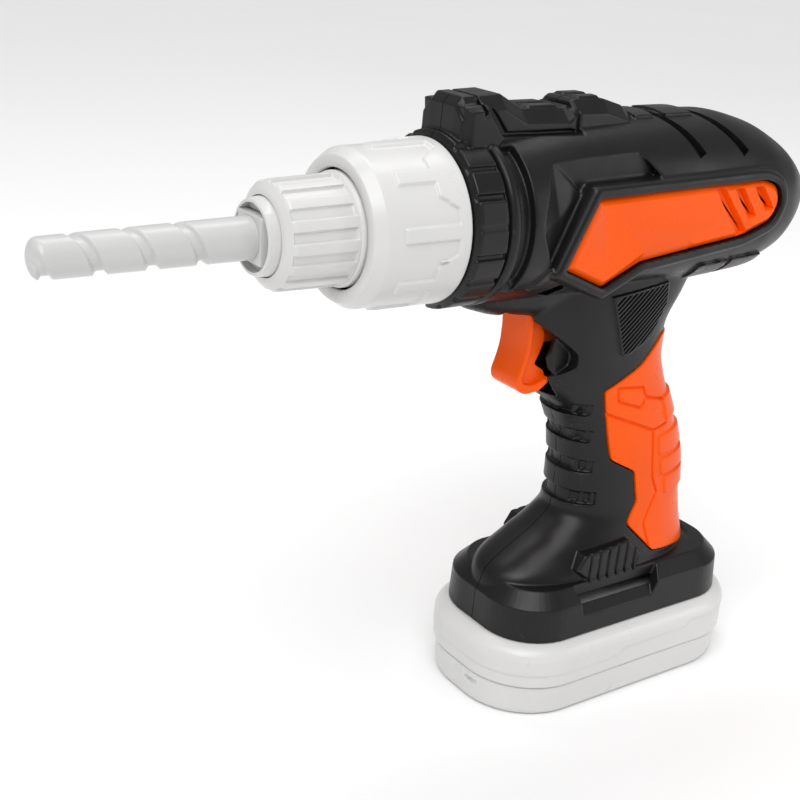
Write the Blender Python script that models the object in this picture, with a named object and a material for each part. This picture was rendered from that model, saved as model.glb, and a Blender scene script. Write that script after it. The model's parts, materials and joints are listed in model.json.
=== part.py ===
"""Toy power drill, built from separate pieces: a hollow housing in two halves, orange trim, a sprung
trigger, a small motor with a two-stage gear train, a chuck with a removable bit, a torque collar and
a battery base. X runs along the spindle with the bit towards -X, +Y is the user's right, +Z is up,
and the origin is the middle of the flat face that the drill stands on. Lengths here are in
millimetres, and become metres when a piece is finished."""

import math

import bmesh
import bpy
from mathutils import Matrix, Vector

MM = 0.001
GAP = 0.3  # between neighbouring pieces
FLAT_WITHIN = 2.5  # degrees between faces that count as one flat face

# The barrel and the spindle
SPINDLE_Z = 150.0
SPINDLE_ORIGIN = (0.0, 0.0, SPINDLE_Z)
BARREL_FRONT = -72.9
FRONT_WALL = 2.4
WALL = 2.3
SIDE_WALL = 4.8  # thick enough for the side panels' recess
# x, half width, top, bottom, roundness of the section
BARREL_STATIONS = (
    (-60.4, 22.8, 172.8, 127.2, 2.0),
    (-52.0, 23.3, 173.4, 126.7, 2.0),
    (-38.0, 22.4, 174.4, 126.2, 2.2),
    (-18.0, 22.0, 175.2, 126.0, 2.3),
    (4.0, 22.0, 175.6, 126.2, 2.3),
    (22.0, 21.8, 175.4, 127.0, 2.3),
    (36.0, 21.2, 172.6, 128.0, 2.3),
    (47.0, 19.0, 167.8, 130.6, 2.3),
    (56.0, 14.6, 162.2, 135.2, 2.2),
    (62.0, 9.0, 156.6, 140.8, 2.1),
    (65.0, 3.6, 152.6, 145.6, 2.0),
)
BARREL_POINTS = 28
HOLLOW_POINTS = 16
RING_PADS = 8
PAD_ANGLE = 22.5
PAD_HEIGHT = 0.7

# The handle and the foot
# z, front, back, half width
HANDLE_STATIONS = (
    (134.0, -45.0, 27.0, 14.4),
    (124.0, -42.0, 21.4, 14.4),
    (113.0, -36.8, 15.2, 14.1),
    (105.0, -34.2, 14.6, 14.0),
    (98.6, -30.6, 16.2, 14.0),
    (88.0, -22.0, 20.8, 14.0),
    (79.0, -18.8, 25.0, 14.0),
    (68.0, -17.8, 28.6, 14.0),
    (57.0, -18.2, 30.4, 14.2),
    (51.0, -24.5, 31.6, 15.0),
    (46.0, -33.2, 32.8, 16.2),
    (39.6, -42.0, 34.4, 18.0),
    (33.0, -44.0, 35.2, 18.8),
)
HANDLE_ROUNDNESS = 2.4
HANDLE_POINTS = 24
GROOVE_HEIGHTS = (91.2, 81.8, 71.8, 61.3)
GROOVE_WIDTH = 4.2
GROOVE_DEPTH = 1.2
# z, half length, half width, corner radius
FOOT_STATIONS = (
    (23.9, 44.8, 23.4, 17.0),
    (34.3, 44.5, 23.0, 17.0),
    (38.6, 40.8, 19.4, 14.0),
)
FOOT_PLATE_TOP = 26.0

# The side panels, outlined as seen from the side
PANEL_OUTLINE = (
    (-32.5, 157.2), (31.0, 158.2), (36.6, 156.2), (38.6, 151.6), (36.2, 146.0),
    (25.0, 142.4), (-14.5, 138.5), (-28.0, 132.7), (-41.8, 139.0),
)
PANEL_FACE = 21.9
PANEL_BACK = 19.7
RIM_FACE = 22.5
RIM_WIDTH = 3.2
RIM_FOOT = 15.5
FACET_TOP = (-46.5, 165.8)  # outer corners of the facets in front of the rim
FACET_APEX = (-51.0, 151.0)
LOUVRES = (14.0, 22.0, 29.5)
LOUVRE_DEPTH = 0.9

# The sight rail on top: x, height, then its half width at the top
RAIL_STATIONS = (
    (-70.4, 170.0, 5.0),
    (-70.0, 180.6, 5.2),
    (-68.2, 182.6, 5.4),
    (-56.0, 182.8, 5.4),
    (-48.4, 178.8, 5.2),
    (-34.6, 178.4, 5.2),
    (-30.8, 180.6, 5.2),
    (-20.4, 180.4, 5.2),
    (-13.4, 178.4, 5.0),
    (-3.4, 171.0, 4.4),
)
RAIL_HALF_WIDTH = 8.6
CROSS_GROOVES = (-63.6, -32.6)
RAIL_BASE = 165.0
RAIL_CHAMFER = 3.6

# The back strap, as seen from the side; it wraps the back of the handle
STRAP_OUTLINE = (
    (9.0, 111.5), (-0.6, 103.8), (-14.2, 97.4), (-7.4, 74.3), (1.8, 69.3),
    (4.2, 58.6), (0.8, 52.0), (11.0, 41.8), (46.0, 37.0), (46.0, 112.0),
)
STRAP_DEPTH = 2.4
STRAP_PROUD = 0.5
STRAP_RIBS = (88.0, 78.0, 68.0)

# The trigger
TRIGGER_PIVOT = (-33.4, 130.2)
TRIGGER_HALF = 6.1
TRIGGER_WALL = 1.5
TRIGGER_OUTLINE = (
    (-39.2, 124.0), (-43.4, 127.4), (-43.4, 132.0), (-40.2, 133.4), (-30.4, 133.4), (-30.0, 128.2),
    (-31.6, 122.0), (-34.4, 118.6), (-30.6, 114.2), (-29.8, 109.6), (-31.6, 104.8), (-30.2, 103.6),
    (-29.4, 100.6), (-33.0, 98.0), (-38.6, 97.8), (-41.2, 100.0), (-41.6, 102.4), (-40.2, 106.2),
    (-39.0, 111.0), (-38.9, 117.0),
)
TRIGGER_INSIDE = (
    (-36.4, 132.6), (-20.0, 132.6), (-20.0, 99.6), (-37.8, 99.6), (-39.4, 101.6), (-38.2, 106.4),
    (-37.0, 111.0), (-36.9, 118.0), (-38.6, 128.0),
)
PIN_RADIUS = 1.2
WELL_OUTLINE = (
    (-56.0, 125.4), (-40.0, 122.6), (-34.6, 120.2), (-27.6, 115.4), (-22.6, 110.2), (-21.2, 107.0),
    (-22.6, 103.8), (-26.4, 101.6), (-33.0, 98.6), (-56.0, 98.0),
)
WELL_BACK = -19.0
WELL_BOTTOM = 95.8
WELL_HALF = 6.7
WINDOW_OUTLINE = ((-44.0, 130.4), (-38.4, 133.6), (-35.6, 132.0), (-39.2, 129.2))

# Screws across the housing: x, z, half length of the post, y of the head's seat
SCREW_SITES = (
    (-62.0, 136.0, 12.4, 9.6),
    (52.0, 150.0, 13.6, 11.0),
    (30.0, 165.0, 14.2, 11.6),
    (-13.6, 101.0, 10.4, 8.4),
    (-4.0, 60.0, 10.4, 8.4),
)
POST_RADIUS = 3.2
SCREW_RADIUS = 1.2
SCREW_HEAD_RADIUS = 2.6
SCREW_HEAD = 1.8
PILOT_DEPTH = 6.4

# The chuck, the collar and the bit
NOSE_FRONT = -123.8
NOSE_ROOT = -120.9
NOSE_REAR = -98.3
SLEEVE_REAR = -100.8  # just clear of the collar that turns behind it
SOCKET_HALF = 6.2
SOCKET_FRONT = -121.6
SOCKET_END = -107.0
SLEEVE_SLOTS = 15
SLOT_ANGLE = 10.0
SLOT_DEPTH = 0.7
COLLAR_FRONT = -100.5
COLLAR_REAR = -73.2
COLLAR_RIBS = 9
RIB_HEIGHT = 0.7
RIB_ANGLE = 6.5  # of the rib nearest the user's left, upwards from level
NECK_FRONT = -96.8
NECK_OUTER = 16.8
NECK_INNER = 14.6
BIT_TIP = -178.5
BIT_ROOT = -124.6
BIT_SQUARE_FRONT = -123.0
BIT_SQUARE_END = -107.5
BIT_SQUARE_HALF = 5.9
BIT_TIP_RADIUS = 4.9
BIT_ROOT_RADIUS = 5.4
FLUTE_PITCH = 12.7
FLUTE_HALF_WIDTH = 1.9
FLUTE_DEPTH = 0.9

# The gear train
MODULE = 0.6
LARGE_TEETH = 24
SMALL_TEETH = 12
BACKLASH = 0.24
SPINDLE_RADIUS = 2.5
SHAFT_RADIUS = 1.0
GEARBOX_FRONT = -29.0
MOTOR_FRONT = -12.0
MOTOR_LENGTH = 25.0
MOTOR_RADIUS = 10.0
MOTOR_FLAT = 7.6
CASE_RADIUS = 8.2
CASE_WALL = 1.2

# The base
BASE_SPLIT = 10.4
CASE_STATIONS = (
    (10.4, 49.8, 27.3, 22.0),
    (19.6, 49.6, 27.1, 22.0),
    (22.4, 48.4, 25.9, 21.0),
    (23.6, 46.0, 24.4, 19.0),
)
COVER_STATIONS = (
    (0.0, 47.4, 24.4, 20.6),
    (1.6, 48.7, 25.8, 22.0),
    (10.1, 49.0, 26.4, 22.0),
)
SPIGOT = (24.0, 12.0)
FLANGE = (28.0, 16.0)
WIRE_HOLE = (9.0, 6.0)
CELL_RADIUS = 7.1
CELL_Z = 12.0
CELL_PITCH = 15.0
CELL_HALF_LENGTH = 24.6
CONTACT_X = 29.0
DIVIDER_X = 31.0
COVER_SCREW_X = 42.0


def solid(name, points, faces):
    """A mesh object in millimetres, its faces turned outwards and made flat."""
    mesh = bpy.data.meshes.new(name)
    mesh.from_pydata([Vector(point) for point in points], [], faces)
    work = bmesh.new()
    work.from_mesh(mesh)
    bmesh.ops.recalc_face_normals(work, faces=work.faces)
    bmesh.ops.triangulate(work, faces=work.faces)
    work.to_mesh(mesh)
    work.free()
    made = bpy.data.objects.new(name, mesh)
    bpy.context.scene.collection.objects.link(made)
    return made


def loft(name, rings, closed=False):
    """A skin through rings of equal counts, capped at both ends, or joined last to first."""
    count = len(rings[0])
    points = [point for ring in rings for point in ring]
    pairs = [(i, i + 1) for i in range(len(rings) - 1)]
    faces = []
    if closed:
        pairs.append((len(rings) - 1, 0))
    else:
        faces.append(tuple(range(count)))
        faces.append(tuple(range(len(points) - count, len(points))))
    for low, high in pairs:
        for i in range(count):
            j = (i + 1) % count
            faces.append((low * count + i, low * count + j, high * count + j, high * count + i))
    return solid(name, points, faces)


def point_on(axis, along, u, v):
    """A point `along` one axis, with u and v along the two that follow X, Y, Z order."""
    if axis == "X":
        return (along, u, v)
    if axis == "Y":
        return (u, along, v)
    return (u, v, along)


def prism(name, outline, axis, low, high):
    return loft(name, [[point_on(axis, at, u, v) for u, v in outline] for at in (low, high)])


def box(name, low, high):
    outline = ((low[0], low[1]), (high[0], low[1]), (high[0], high[1]), (low[0], high[1]))
    return prism(name, outline, "Z", low[2], high[2])


def circle(radius, segments, centre=(0.0, 0.0), phase=0.0):
    turns = [phase + 2 * math.pi * i / segments for i in range(segments)]
    return [(centre[0] + radius * math.cos(t), centre[1] + radius * math.sin(t)) for t in turns]


def turned(name, stations, axis, centre, segments):
    """A solid of revolution through (along, radius) stations."""
    rings = []
    for along, radius in stations:
        rings.append([point_on(axis, along, u, v) for u, v in circle(radius, segments, centre)])
    return loft(name, rings)


def ring_of(name, stations, axis, centre, segments):
    """A turned ring: the stations go round its section, outside then inside."""
    rings = []
    for along, radius in stations:
        rings.append([point_on(axis, along, u, v) for u, v in circle(radius, segments, centre)])
    return loft(name, rings, closed=True)


def combine(target, other, operation):
    modifier = target.modifiers.new(operation, "BOOLEAN")
    modifier.operation = operation
    modifier.object = other
    modifier.solver = "EXACT"
    graph = bpy.context.evaluated_depsgraph_get()
    result = bpy.data.meshes.new_from_object(target.evaluated_get(graph))
    target.modifiers.clear()
    before = target.data
    target.data = result
    bpy.data.meshes.remove(before)
    bpy.data.objects.remove(other)
    return target


def cut(target, *cutters):
    for cutter in cutters:
        combine(target, cutter, "DIFFERENCE")
    return target


def join(target, *others):
    for other in others:
        combine(target, other, "UNION")
    return target


def keep(target, other):
    return combine(target, other, "INTERSECT")


def copy_of(source, name):
    made = bpy.data.objects.new(name, source.data.copy())
    bpy.context.scene.collection.objects.link(made)
    return made


def finish(made, paint, sharp=35.0, origin=(0.0, 0.0, 0.0)):
    """The piece from millimetres to metres, its flat faces merged, smooth shaded, in its own material.
    A moving piece's origin is a point on the axis that it moves about."""
    work = bmesh.new()
    work.from_mesh(made.data)
    bmesh.ops.dissolve_limit(work, angle_limit=math.radians(FLAT_WITHIN), verts=work.verts, edges=work.edges)
    bmesh.ops.triangulate(work, faces=work.faces)
    work.to_mesh(made.data)
    work.free()
    made.data.transform(Matrix.Scale(MM, 4) @ Matrix.Translation(-Vector(origin)))
    made.location = Vector(origin) * MM
    made.data.shade_smooth()
    made.data.set_sharp_from_angle(angle=math.radians(sharp))
    made.data.materials.clear()
    made.data.materials.append(paint)
    return made


def paint(name, colour, roughness, metallic=0.0):
    made = bpy.data.materials.new(name)
    made.use_nodes = True
    shader = made.node_tree.nodes["Principled BSDF"]
    shader.inputs["Base Color"].default_value = (*colour, 1.0)
    shader.inputs["Roughness"].default_value = roughness
    shader.inputs["Metallic"].default_value = metallic
    made.diffuse_color = (*colour, 1.0)
    return made


def superellipse(half_u, high_v, low_v, roundness, count):
    """A rounded section about v = 0, with its own reach upwards and downwards."""
    points = []
    for i in range(count):
        turn = 2 * math.pi * i / count
        c, s = math.cos(turn), math.sin(turn)
        u = half_u * math.copysign(abs(c) ** (2 / roundness), c)
        v = (high_v if s > 0 else low_v) * math.copysign(abs(s) ** (2 / roundness), s)
        points.append((u, v))
    return points


def rounded_rectangle(half_u, half_v, corner, steps=6):
    points = []
    for quadrant, (su, sv) in enumerate(((1, 1), (-1, 1), (-1, -1), (1, -1))):
        for i in range(steps + 1):
            turn = math.pi / 2 * (quadrant + i / steps)
            u = su * (half_u - corner) + corner * math.cos(turn)
            v = sv * (half_v - corner) + corner * math.sin(turn)
            points.append((u, v))
    return points


def offset_outline(outline, distance):
    """The outline moved outwards by a distance, its corners mitred."""
    count = len(outline)
    area = sum(outline[i - 1][0] * outline[i][1] - outline[i][0] * outline[i - 1][1] for i in range(count))
    side = 1.0 if area > 0 else -1.0
    moved = []
    for i in range(count):
        here = Vector(outline[i])
        before = (here - Vector(outline[i - 1])).normalized()
        after = (Vector(outline[(i + 1) % count]) - here).normalized()
        normal_before = Vector((before.y, -before.x)) * side
        normal_after = Vector((after.y, -after.x)) * side
        bisector = (normal_before + normal_after).normalized()
        reach = distance / max(0.4, bisector.dot(normal_before))
        moved.append(tuple(here + bisector * reach))
    return moved


def barrel(name, wall=0.0, side_wall=0.0):
    """The barrel's solid, or its hollow when the walls are taken off."""
    rings = []
    last = BARREL_STATIONS[-1][0]
    for x, half, top, bottom, roundness in BARREL_STATIONS:
        if wall and half < side_wall + 4.0:
            continue
        section = superellipse(half - side_wall, top - wall - SPINDLE_Z, SPINDLE_Z - bottom - wall,
                               roundness, HOLLOW_POINTS if wall else BARREL_POINTS)
        shift = wall if x > last / 2 else 0.0
        rings.append([(x - shift, u, SPINDLE_Z + v) for u, v in section])
    return loft(name, rings)


def handle_levels(grooves):
    """Heights of the handle's sections, with four more at each finger groove."""
    levels = [station[0] for station in HANDLE_STATIONS]
    if grooves:
        for height in GROOVE_HEIGHTS:
            half = GROOVE_WIDTH / 2
            levels += [height + half + 0.5, height + half, height - half, height - half - 0.5]
            levels = [z for z in levels if abs(z - height) >= half or z in (height + half, height - half)]
    return sorted(set(levels), reverse=True)


def handle_at(z):
    """Front, back and half width of the handle at a height, read between its stations."""
    for upper, lower in zip(HANDLE_STATIONS, HANDLE_STATIONS[1:]):
        if z >= lower[0]:
            share = (z - lower[0]) / (upper[0] - lower[0])
            return [low + (high - low) * share for high, low in zip(upper[1:], lower[1:])]
    return list(HANDLE_STATIONS[-1][1:])


def groove_depth(z, turn):
    """How deep the finger grooves are at a height and an angle; they fade out on the sides."""
    if not any(abs(z - height) <= GROOVE_WIDTH / 2 + 0.01 for height in GROOVE_HEIGHTS):
        return 0.0
    return GROOVE_DEPTH * min(1.0, max(0.0, -math.cos(turn) - 0.1) * 3.0)


def handle(name, front=0.0, back=0.0, side=0.0, grooves=False, high=None):
    """The handle's solid, taken in by a distance at the front, the back and the sides."""
    rings = []
    count = HOLLOW_POINTS if side > STRAP_DEPTH + GAP else HANDLE_POINTS
    for z in handle_levels(grooves):
        if high is not None and z > high:
            continue
        at_front, at_back, half = handle_at(z)
        at_front, at_back, half = at_front + front, at_back - back, half - side
        middle, reach = (at_front + at_back) / 2, (at_back - at_front) / 2
        ring = []
        for i, (u, v) in enumerate(superellipse(reach, half, half, HANDLE_ROUNDNESS, count)):
            turn = 2 * math.pi * i / count
            depth = groove_depth(z, turn) if grooves else 0.0
            shrink = 1.0 - depth / math.hypot(u, v)
            ring.append((middle + u * shrink, v * shrink, z))
        rings.append(ring)
    return loft(name, rings)


def rounded_block(name, stations, inset=0.0):
    rings = []
    for z, length, width, corner in stations:
        outline = rounded_rectangle(length - inset, width - inset, max(2.0, corner - inset))
        rings.append([(u, v, z) for u, v in outline])
    return loft(name, rings)


def top_rail(name):
    rings = []
    for x, top, half in RAIL_STATIONS:
        shoulder = max(RAIL_BASE + 1.0, top - RAIL_CHAMFER)
        section = ((RAIL_HALF_WIDTH, RAIL_BASE), (RAIL_HALF_WIDTH, shoulder), (half, top),
                   (-half, top), (-RAIL_HALF_WIDTH, shoulder), (-RAIL_HALF_WIDTH, RAIL_BASE))
        rings.append([(x, u, v) for u, v in section])
    return loft(name, rings)


def slanted_slab(name, top, bottom, thickness, low_y, high_y):
    """A thin plate between two points of the side view, for cutting a groove."""
    along = (Vector(bottom) - Vector(top)).normalized()
    across = Vector((along.y, -along.x)) * thickness / 2
    outline = [tuple(Vector(top) + across), tuple(Vector(bottom) + across),
               tuple(Vector(bottom) - across), tuple(Vector(top) - across)]
    return prism(name, outline, "Y", low_y, high_y)


def cut_rail_grooves(shell):
    """Shallow lines across and along the rail, left by trimming it with thin frames."""
    for x in CROSS_GROOVES:
        groove = box("groove", (x - 0.4, -12.0, 168.0), (x + 0.4, 12.0, 190.0))
        core_half = RAIL_HALF_WIDTH - 0.8
        core = box("core", (x - 1.0, -core_half, 160.0), (x + 1.0, core_half, 177.4))
        cut(shell, cut(groove, core))
    for side in (-1, 1):
        low, high = sorted((side * (RAIL_HALF_WIDTH - 0.8), side * (RAIL_HALF_WIDTH + 3.0)))
        cut(shell, slanted_slab("groove", (-61.0, 181.0), (-55.2, 173.2), 0.8, low, high),
            slanted_slab("groove", (-55.6, 173.2), (-31.0, 172.8), 0.8, low, high))


def cut_dome_grooves(shell):
    """Two arched grooves over the back of the barrel, swept back as they come down the sides."""
    for x in (2.0, 17.0):
        rings = []
        for i in range(13):
            lean = math.radians(42.0 + 96.0 * i / 12)
            sweep = 6.0 * abs(math.cos(lean)) ** 1.3
            inner, outer = 0.93, 1.2
            ring = []
            for dx, scale in ((-0.7, inner), (0.7, inner), (0.9, outer), (-0.9, outer)):
                y = -22.0 * abs(math.cos(lean)) ** 0.87 * math.copysign(1, math.cos(lean)) * scale
                z = SPINDLE_Z + 25.5 * math.sin(lean) ** 0.87 * scale
                ring.append((x + sweep + dx, y, z))
            rings.append(ring)
        cut(shell, loft("groove", rings))


def panel_surround(name, side):
    """The raised rim round a side panel, with the chamfered facets that lead up to it in front."""
    rim = offset_outline(PANEL_OUTLINE, RIM_WIDTH)
    base = offset_outline(PANEL_OUTLINE, RIM_WIDTH + 1.2)
    # The rim's front corners stand over the facet's outer corners.
    base[0] = FACET_TOP
    base[-1] = FACET_APEX
    rings = [[(x, side * RIM_FOOT, z) for x, z in base],
             [(x, side * (RIM_FACE - 0.8), z) for x, z in rim],
             [(x, side * RIM_FACE, z) for x, z in offset_outline(PANEL_OUTLINE, RIM_WIDTH - 0.8)]]
    return loft(name, rings)


def pad(name, outline, side, low, high, chamfer=0.6):
    """A raised pad on one side, its edge chamfered."""
    rings = [[(x, side * low, z) for x, z in outline],
             [(x, side * (high - chamfer), z) for x, z in outline],
             [(x, side * high, z) for x, z in offset_outline(outline, -chamfer)]]
    return loft(name, rings)


def housing_outside():
    shell = barrel("housing")
    join(shell, front_ring("front ring"))
    join(shell, handle("grip", grooves=True), rounded_block("foot", FOOT_STATIONS))
    join(shell, top_rail("rail"))
    for side in (-1, 1):
        join(shell, panel_surround("surround", side))
    for side in (-1, 1):
        latch = ((-21.0, 42.4), (-18.0, 46.8), (2.4, 48.0), (5.4, 43.0), (2.4, 37.4), (-16.0, 37.4))
        join(shell, pad("latch", latch, side, 12.0, 19.4))
    return shell


def front_ring(name):
    """The round front of the barrel: raised pads all round it, then a narrow groove."""
    stations = ((BARREL_FRONT, 21.6, 0), (-72.1, 22.2, 0), (-70.9, 22.2, 0), (-70.5, 22.2, 1),
                (-63.0, 22.2, 1), (-62.6, 22.2, 0), (-62.0, 22.4, 0), (-61.8, 21.4, 0), (-57.0, 21.4, 0))
    rings = []
    for x, radius, padded in stations:
        ring = []
        for i in range(RING_PADS):
            centre = PAD_ANGLE + 360.0 * i / RING_PADS
            for turn, on_pad in ((-22.0, 0), (-16.6, 0), (-16.0, 1), (0.0, 1), (16.0, 1), (16.6, 0)):
                here = radius + PAD_HEIGHT * padded * on_pad
                angle = math.radians(centre + turn)
                ring.append((x, -here * math.cos(angle), SPINDLE_Z + here * math.sin(angle)))
        rings.append(ring)
    return loft(name, rings)


def hollow_housing(shell):
    cut(shell, barrel("cavity", WALL, SIDE_WALL))
    cut(shell, turned("cavity", ((BARREL_FRONT + FRONT_WALL, 18.2), (-56.0, 18.2)), "X", (0.0, SPINDLE_Z), 36))
    cut(shell, handle("cavity", 2.4, 5.4, SIDE_WALL))
    inside = ((FOOT_PLATE_TOP, 42.4, 21.0, 15.0), (33.6, 42.2, 20.8, 15.0), (36.4, 39.4, 17.6, 12.0))
    cut(shell, rounded_block("cavity", inside))
    cut(shell, box("spigot hole", (-SPIGOT[0] - GAP, -SPIGOT[1] - GAP, 20.0),
                   (SPIGOT[0] + GAP, SPIGOT[1] + GAP, 30.0)))
    return shell


def add_neck(shell):
    """The tube in front of the barrel that the torque collar turns on."""
    neck = ring_of("neck", ((NECK_FRONT, NECK_OUTER), (-71.4, NECK_OUTER), (-71.4, NECK_INNER),
                            (NECK_FRONT, NECK_INNER)), "X", (0.0, SPINDLE_Z), 40)
    join(shell, neck)


def gearbox_outline(grow):
    """Two half circles round the spindle and the idler's pin, joined by straight sides."""
    radius = CASE_RADIUS + CASE_WALL + grow
    upper = [(radius * math.cos(math.pi * i / 10), SPINDLE_Z + radius * math.sin(math.pi * i / 10))
             for i in range(11)]
    lower = [(-radius * math.cos(math.pi * i / 10), IDLER_Z - radius * math.sin(math.pi * i / 10))
             for i in range(11)]
    return upper + lower


def motor_outline(grow):
    outline = []
    for u, v in circle(MOTOR_RADIUS + grow, 28):
        flat = MOTOR_FLAT + grow
        outline.append((max(-flat, min(flat, u)), SPINDLE_Z + v))
    return outline


def add_ribs(shell):
    """Ribs that hold the gearbox, the motor and the switch, and bosses for the trigger's pin."""
    for x, outline in ((-24.0, gearbox_outline(GAP)), (2.0, motor_outline(GAP))):
        rib = barrel("rib", WALL - 0.6, SIDE_WALL - 0.6)
        keep(rib, box("slab", (x, -40.0, 120.0), (x + 1.8, 40.0, 190.0)))
        cut(rib, prism("hole", outline, "X", x - 5.0, x + 5.0))
        cut(rib, box("way", (x - 5.0, -6.0, 120.0), (x + 5.0, 6.0, SPINDLE_Z)))
        join(shell, rib)
    for low, high in ((106.0, 109.6), (119.4, 121.6)):
        join(shell, box("shelf", (-11.4, -9.8, low), (-3.6, 9.8, high)))
    x, z = TRIGGER_PIVOT
    for side in (-1, 1):
        low, high = sorted((side * 7.2, side * 15.0))
        join(shell, box("boss", (x - 2.0, low, 126.6), (x + 3.0, high, z + 3.2)))


def add_screw_posts(shell):
    for x, z, half, seat in SCREW_SITES:
        join(shell, turned("post", ((-half, POST_RADIUS), (half, POST_RADIUS)), "Y", (x, z), 10))


def drill_screw_holes(half):
    for x, z, reach, seat in SCREW_SITES:
        cut(half, turned("hole", ((-PILOT_DEPTH, SCREW_RADIUS + GAP), (seat, SCREW_RADIUS + GAP),
                                  (seat, SCREW_HEAD_RADIUS + GAP), (32.0, SCREW_HEAD_RADIUS + GAP)),
                         "Y", (x, z), 8))


def cut_housing_openings(shell):
    cut(shell, prism("well", WELL_OUTLINE, "Y", -20.0, 20.0))
    cut(shell, box("slot", (-48.6, -WELL_HALF, WELL_BOTTOM), (WELL_BACK, WELL_HALF, 131.0)))
    cut(shell, box("slot", (-46.0, -WELL_HALF, 125.0), (-25.0, WELL_HALF, 135.0)))
    cut(shell, prism("window", WINDOW_OUTLINE, "Y", -40.0, 40.0))
    pin = PIN_RADIUS + GAP
    cut(shell, turned("pin hole", ((-12.0, pin), (12.0, pin)), "Y", TRIGGER_PIVOT, 12))
    bush = ((-80.0, 5.3), (-60.0, 5.3))
    cut(shell, turned("bush hole", bush, "X", (0.0, SPINDLE_Z), 24))
    for side in (-1, 1):
        recess = offset_outline(PANEL_OUTLINE, GAP)
        low, high = sorted((side * (PANEL_BACK - GAP), side * 30.0))
        cut(shell, prism("recess", recess, "Y", low, high))


def strap_solid(name, proud, depth, margin):
    """The skin between the handle and a smaller handle inside it, within the strap's outline."""
    skin = handle(name, -proud, -proud, -proud, high=120.0)
    cut(skin, handle("core", depth, depth, depth, high=130.0))
    return keep(skin, prism("outline", offset_outline(STRAP_OUTLINE, margin), "Y", -30.0, 30.0))


def housing():
    shell = housing_outside()
    cut_rail_grooves(shell)
    cut_dome_grooves(shell)
    hollow_housing(shell)
    add_neck(shell)
    add_ribs(shell)
    cut(shell, strap_solid("strap recess", 3.0, STRAP_DEPTH + GAP, GAP))
    add_screw_posts(shell)
    cut_housing_openings(shell)
    cut(shell, box("other half", (-150.0, -60.0, -10.0), (100.0, GAP / 2, 220.0)))
    shell.name = "right_housing"
    left = copy_of(shell, "left_housing")
    left.data.transform(Matrix.Scale(-1.0, 4, (0.0, 1.0, 0.0)))
    left.data.flip_normals()
    for half in (shell, left):
        drill_screw_holes(half)
        finish(half, BLACK)


def side_panels():
    for name, side in (("left_side_panel", -1), ("right_side_panel", 1)):
        bevel = offset_outline(PANEL_OUTLINE, -1.0)
        rings = [[(x, side * PANEL_BACK, z) for x, z in PANEL_OUTLINE],
                 [(x, side * (PANEL_FACE - 0.7), z) for x, z in PANEL_OUTLINE],
                 [(x, side * PANEL_FACE, z) for x, z in bevel]]
        panel = loft(name, rings)
        low, high = sorted((side * (PANEL_FACE - LOUVRE_DEPTH), side * (PANEL_FACE + 5.0)))
        for x in LOUVRES:
            slot = ((x, 155.4), (x + 3.0, 155.4), (x + 7.4, 146.6), (x + 4.4, 146.6))
            cut(panel, prism("louvre", slot, "Y", low, high))
        finish(panel, ORANGE)


def grip_backstrap():
    strap = strap_solid("grip_backstrap", STRAP_PROUD, STRAP_DEPTH, 0.0)
    for z in STRAP_RIBS:
        low, middle, high = (handle_at(level)[1] for level in (z - 3.4, z - 0.6, z + 1.6))
        outline = ((low - 0.9, z - 3.4), (low + 1.7, z - 3.4), (middle + 1.9, z - 0.6),
                   (high + 1.1, z + 1.6), (high - 0.9, z + 1.6))
        join(strap, prism("rib", outline, "Y", -6.0, 6.0))
    finish(strap, ORANGE)


def trigger():
    body = prism("trigger", TRIGGER_OUTLINE, "Y", -TRIGGER_HALF, TRIGGER_HALF)
    inner = TRIGGER_HALF - TRIGGER_WALL
    cut(body, prism("inside", TRIGGER_INSIDE, "Y", -inner, inner))
    join(body, box("push arm", (-37.6, -1.8, 111.0), (-17.2, 1.8, 116.0)))
    hole = PIN_RADIUS + GAP
    cut(body, turned("pin hole", ((-20.0, hole), (20.0, hole)), "Y", TRIGGER_PIVOT, 16))
    finish(body, ORANGE, origin=(TRIGGER_PIVOT[0], 0.0, TRIGGER_PIVOT[1]))


def helix(name, axis, centre, start, end, radius, wire, turns, tails=()):
    """A round wire wound about an axis, with straight tails given as extra points."""
    steps = int(turns * 8)
    path = []
    for i in range(steps + 1):
        angle = 2 * math.pi * turns * i / steps
        along = start + (end - start) * i / steps
        path.append(Vector(point_on(axis, along, centre[0] + radius * math.cos(angle),
                                    centre[1] + radius * math.sin(angle))))
    path += [Vector(point) for point in tails]
    return wire_along(name, path, wire, 4)


def wire_along(name, path, radius, sides):
    """A tube of round section along a list of points."""
    rings = []
    side = Vector((0.0, 0.0, 1.0))
    for i, here in enumerate(path):
        ahead = path[min(i + 1, len(path) - 1)] - path[max(i - 1, 0)]
        ahead.normalize()
        side = (side - ahead * side.dot(ahead)).normalized()
        up = ahead.cross(side)
        rings.append([tuple(here + side * u + up * v) for u, v in circle(radius, sides)])
    return loft(name, rings)


def trigger_parts():
    x, z = TRIGGER_PIVOT
    pin = ((-11.4, PIN_RADIUS), (11.4, PIN_RADIUS))
    finish(turned("trigger_pin", pin, "Y", TRIGGER_PIVOT, 12), STEEL)
    tails = [(x + 2.6, 2.4, z - 2.0), (x + 7.4, 2.6, z - 3.0)]
    spring = helix("trigger_spring", "Y", TRIGGER_PIVOT, -2.4, 2.2, 1.8, 0.3, 5, tails)
    finish(spring, STEEL)
    finish(box("switch_body", (-11.8, -4.2, 109.9), (-3.2, 4.2, 119.1)), DARK_PLASTIC)
    finish(box("switch_plunger", (-16.7, -2.0, 111.6), (-14.9, 2.0, 118.6)), PALE_PLASTIC,
           origin=(-15.8, 0.0, 115.1))


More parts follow.
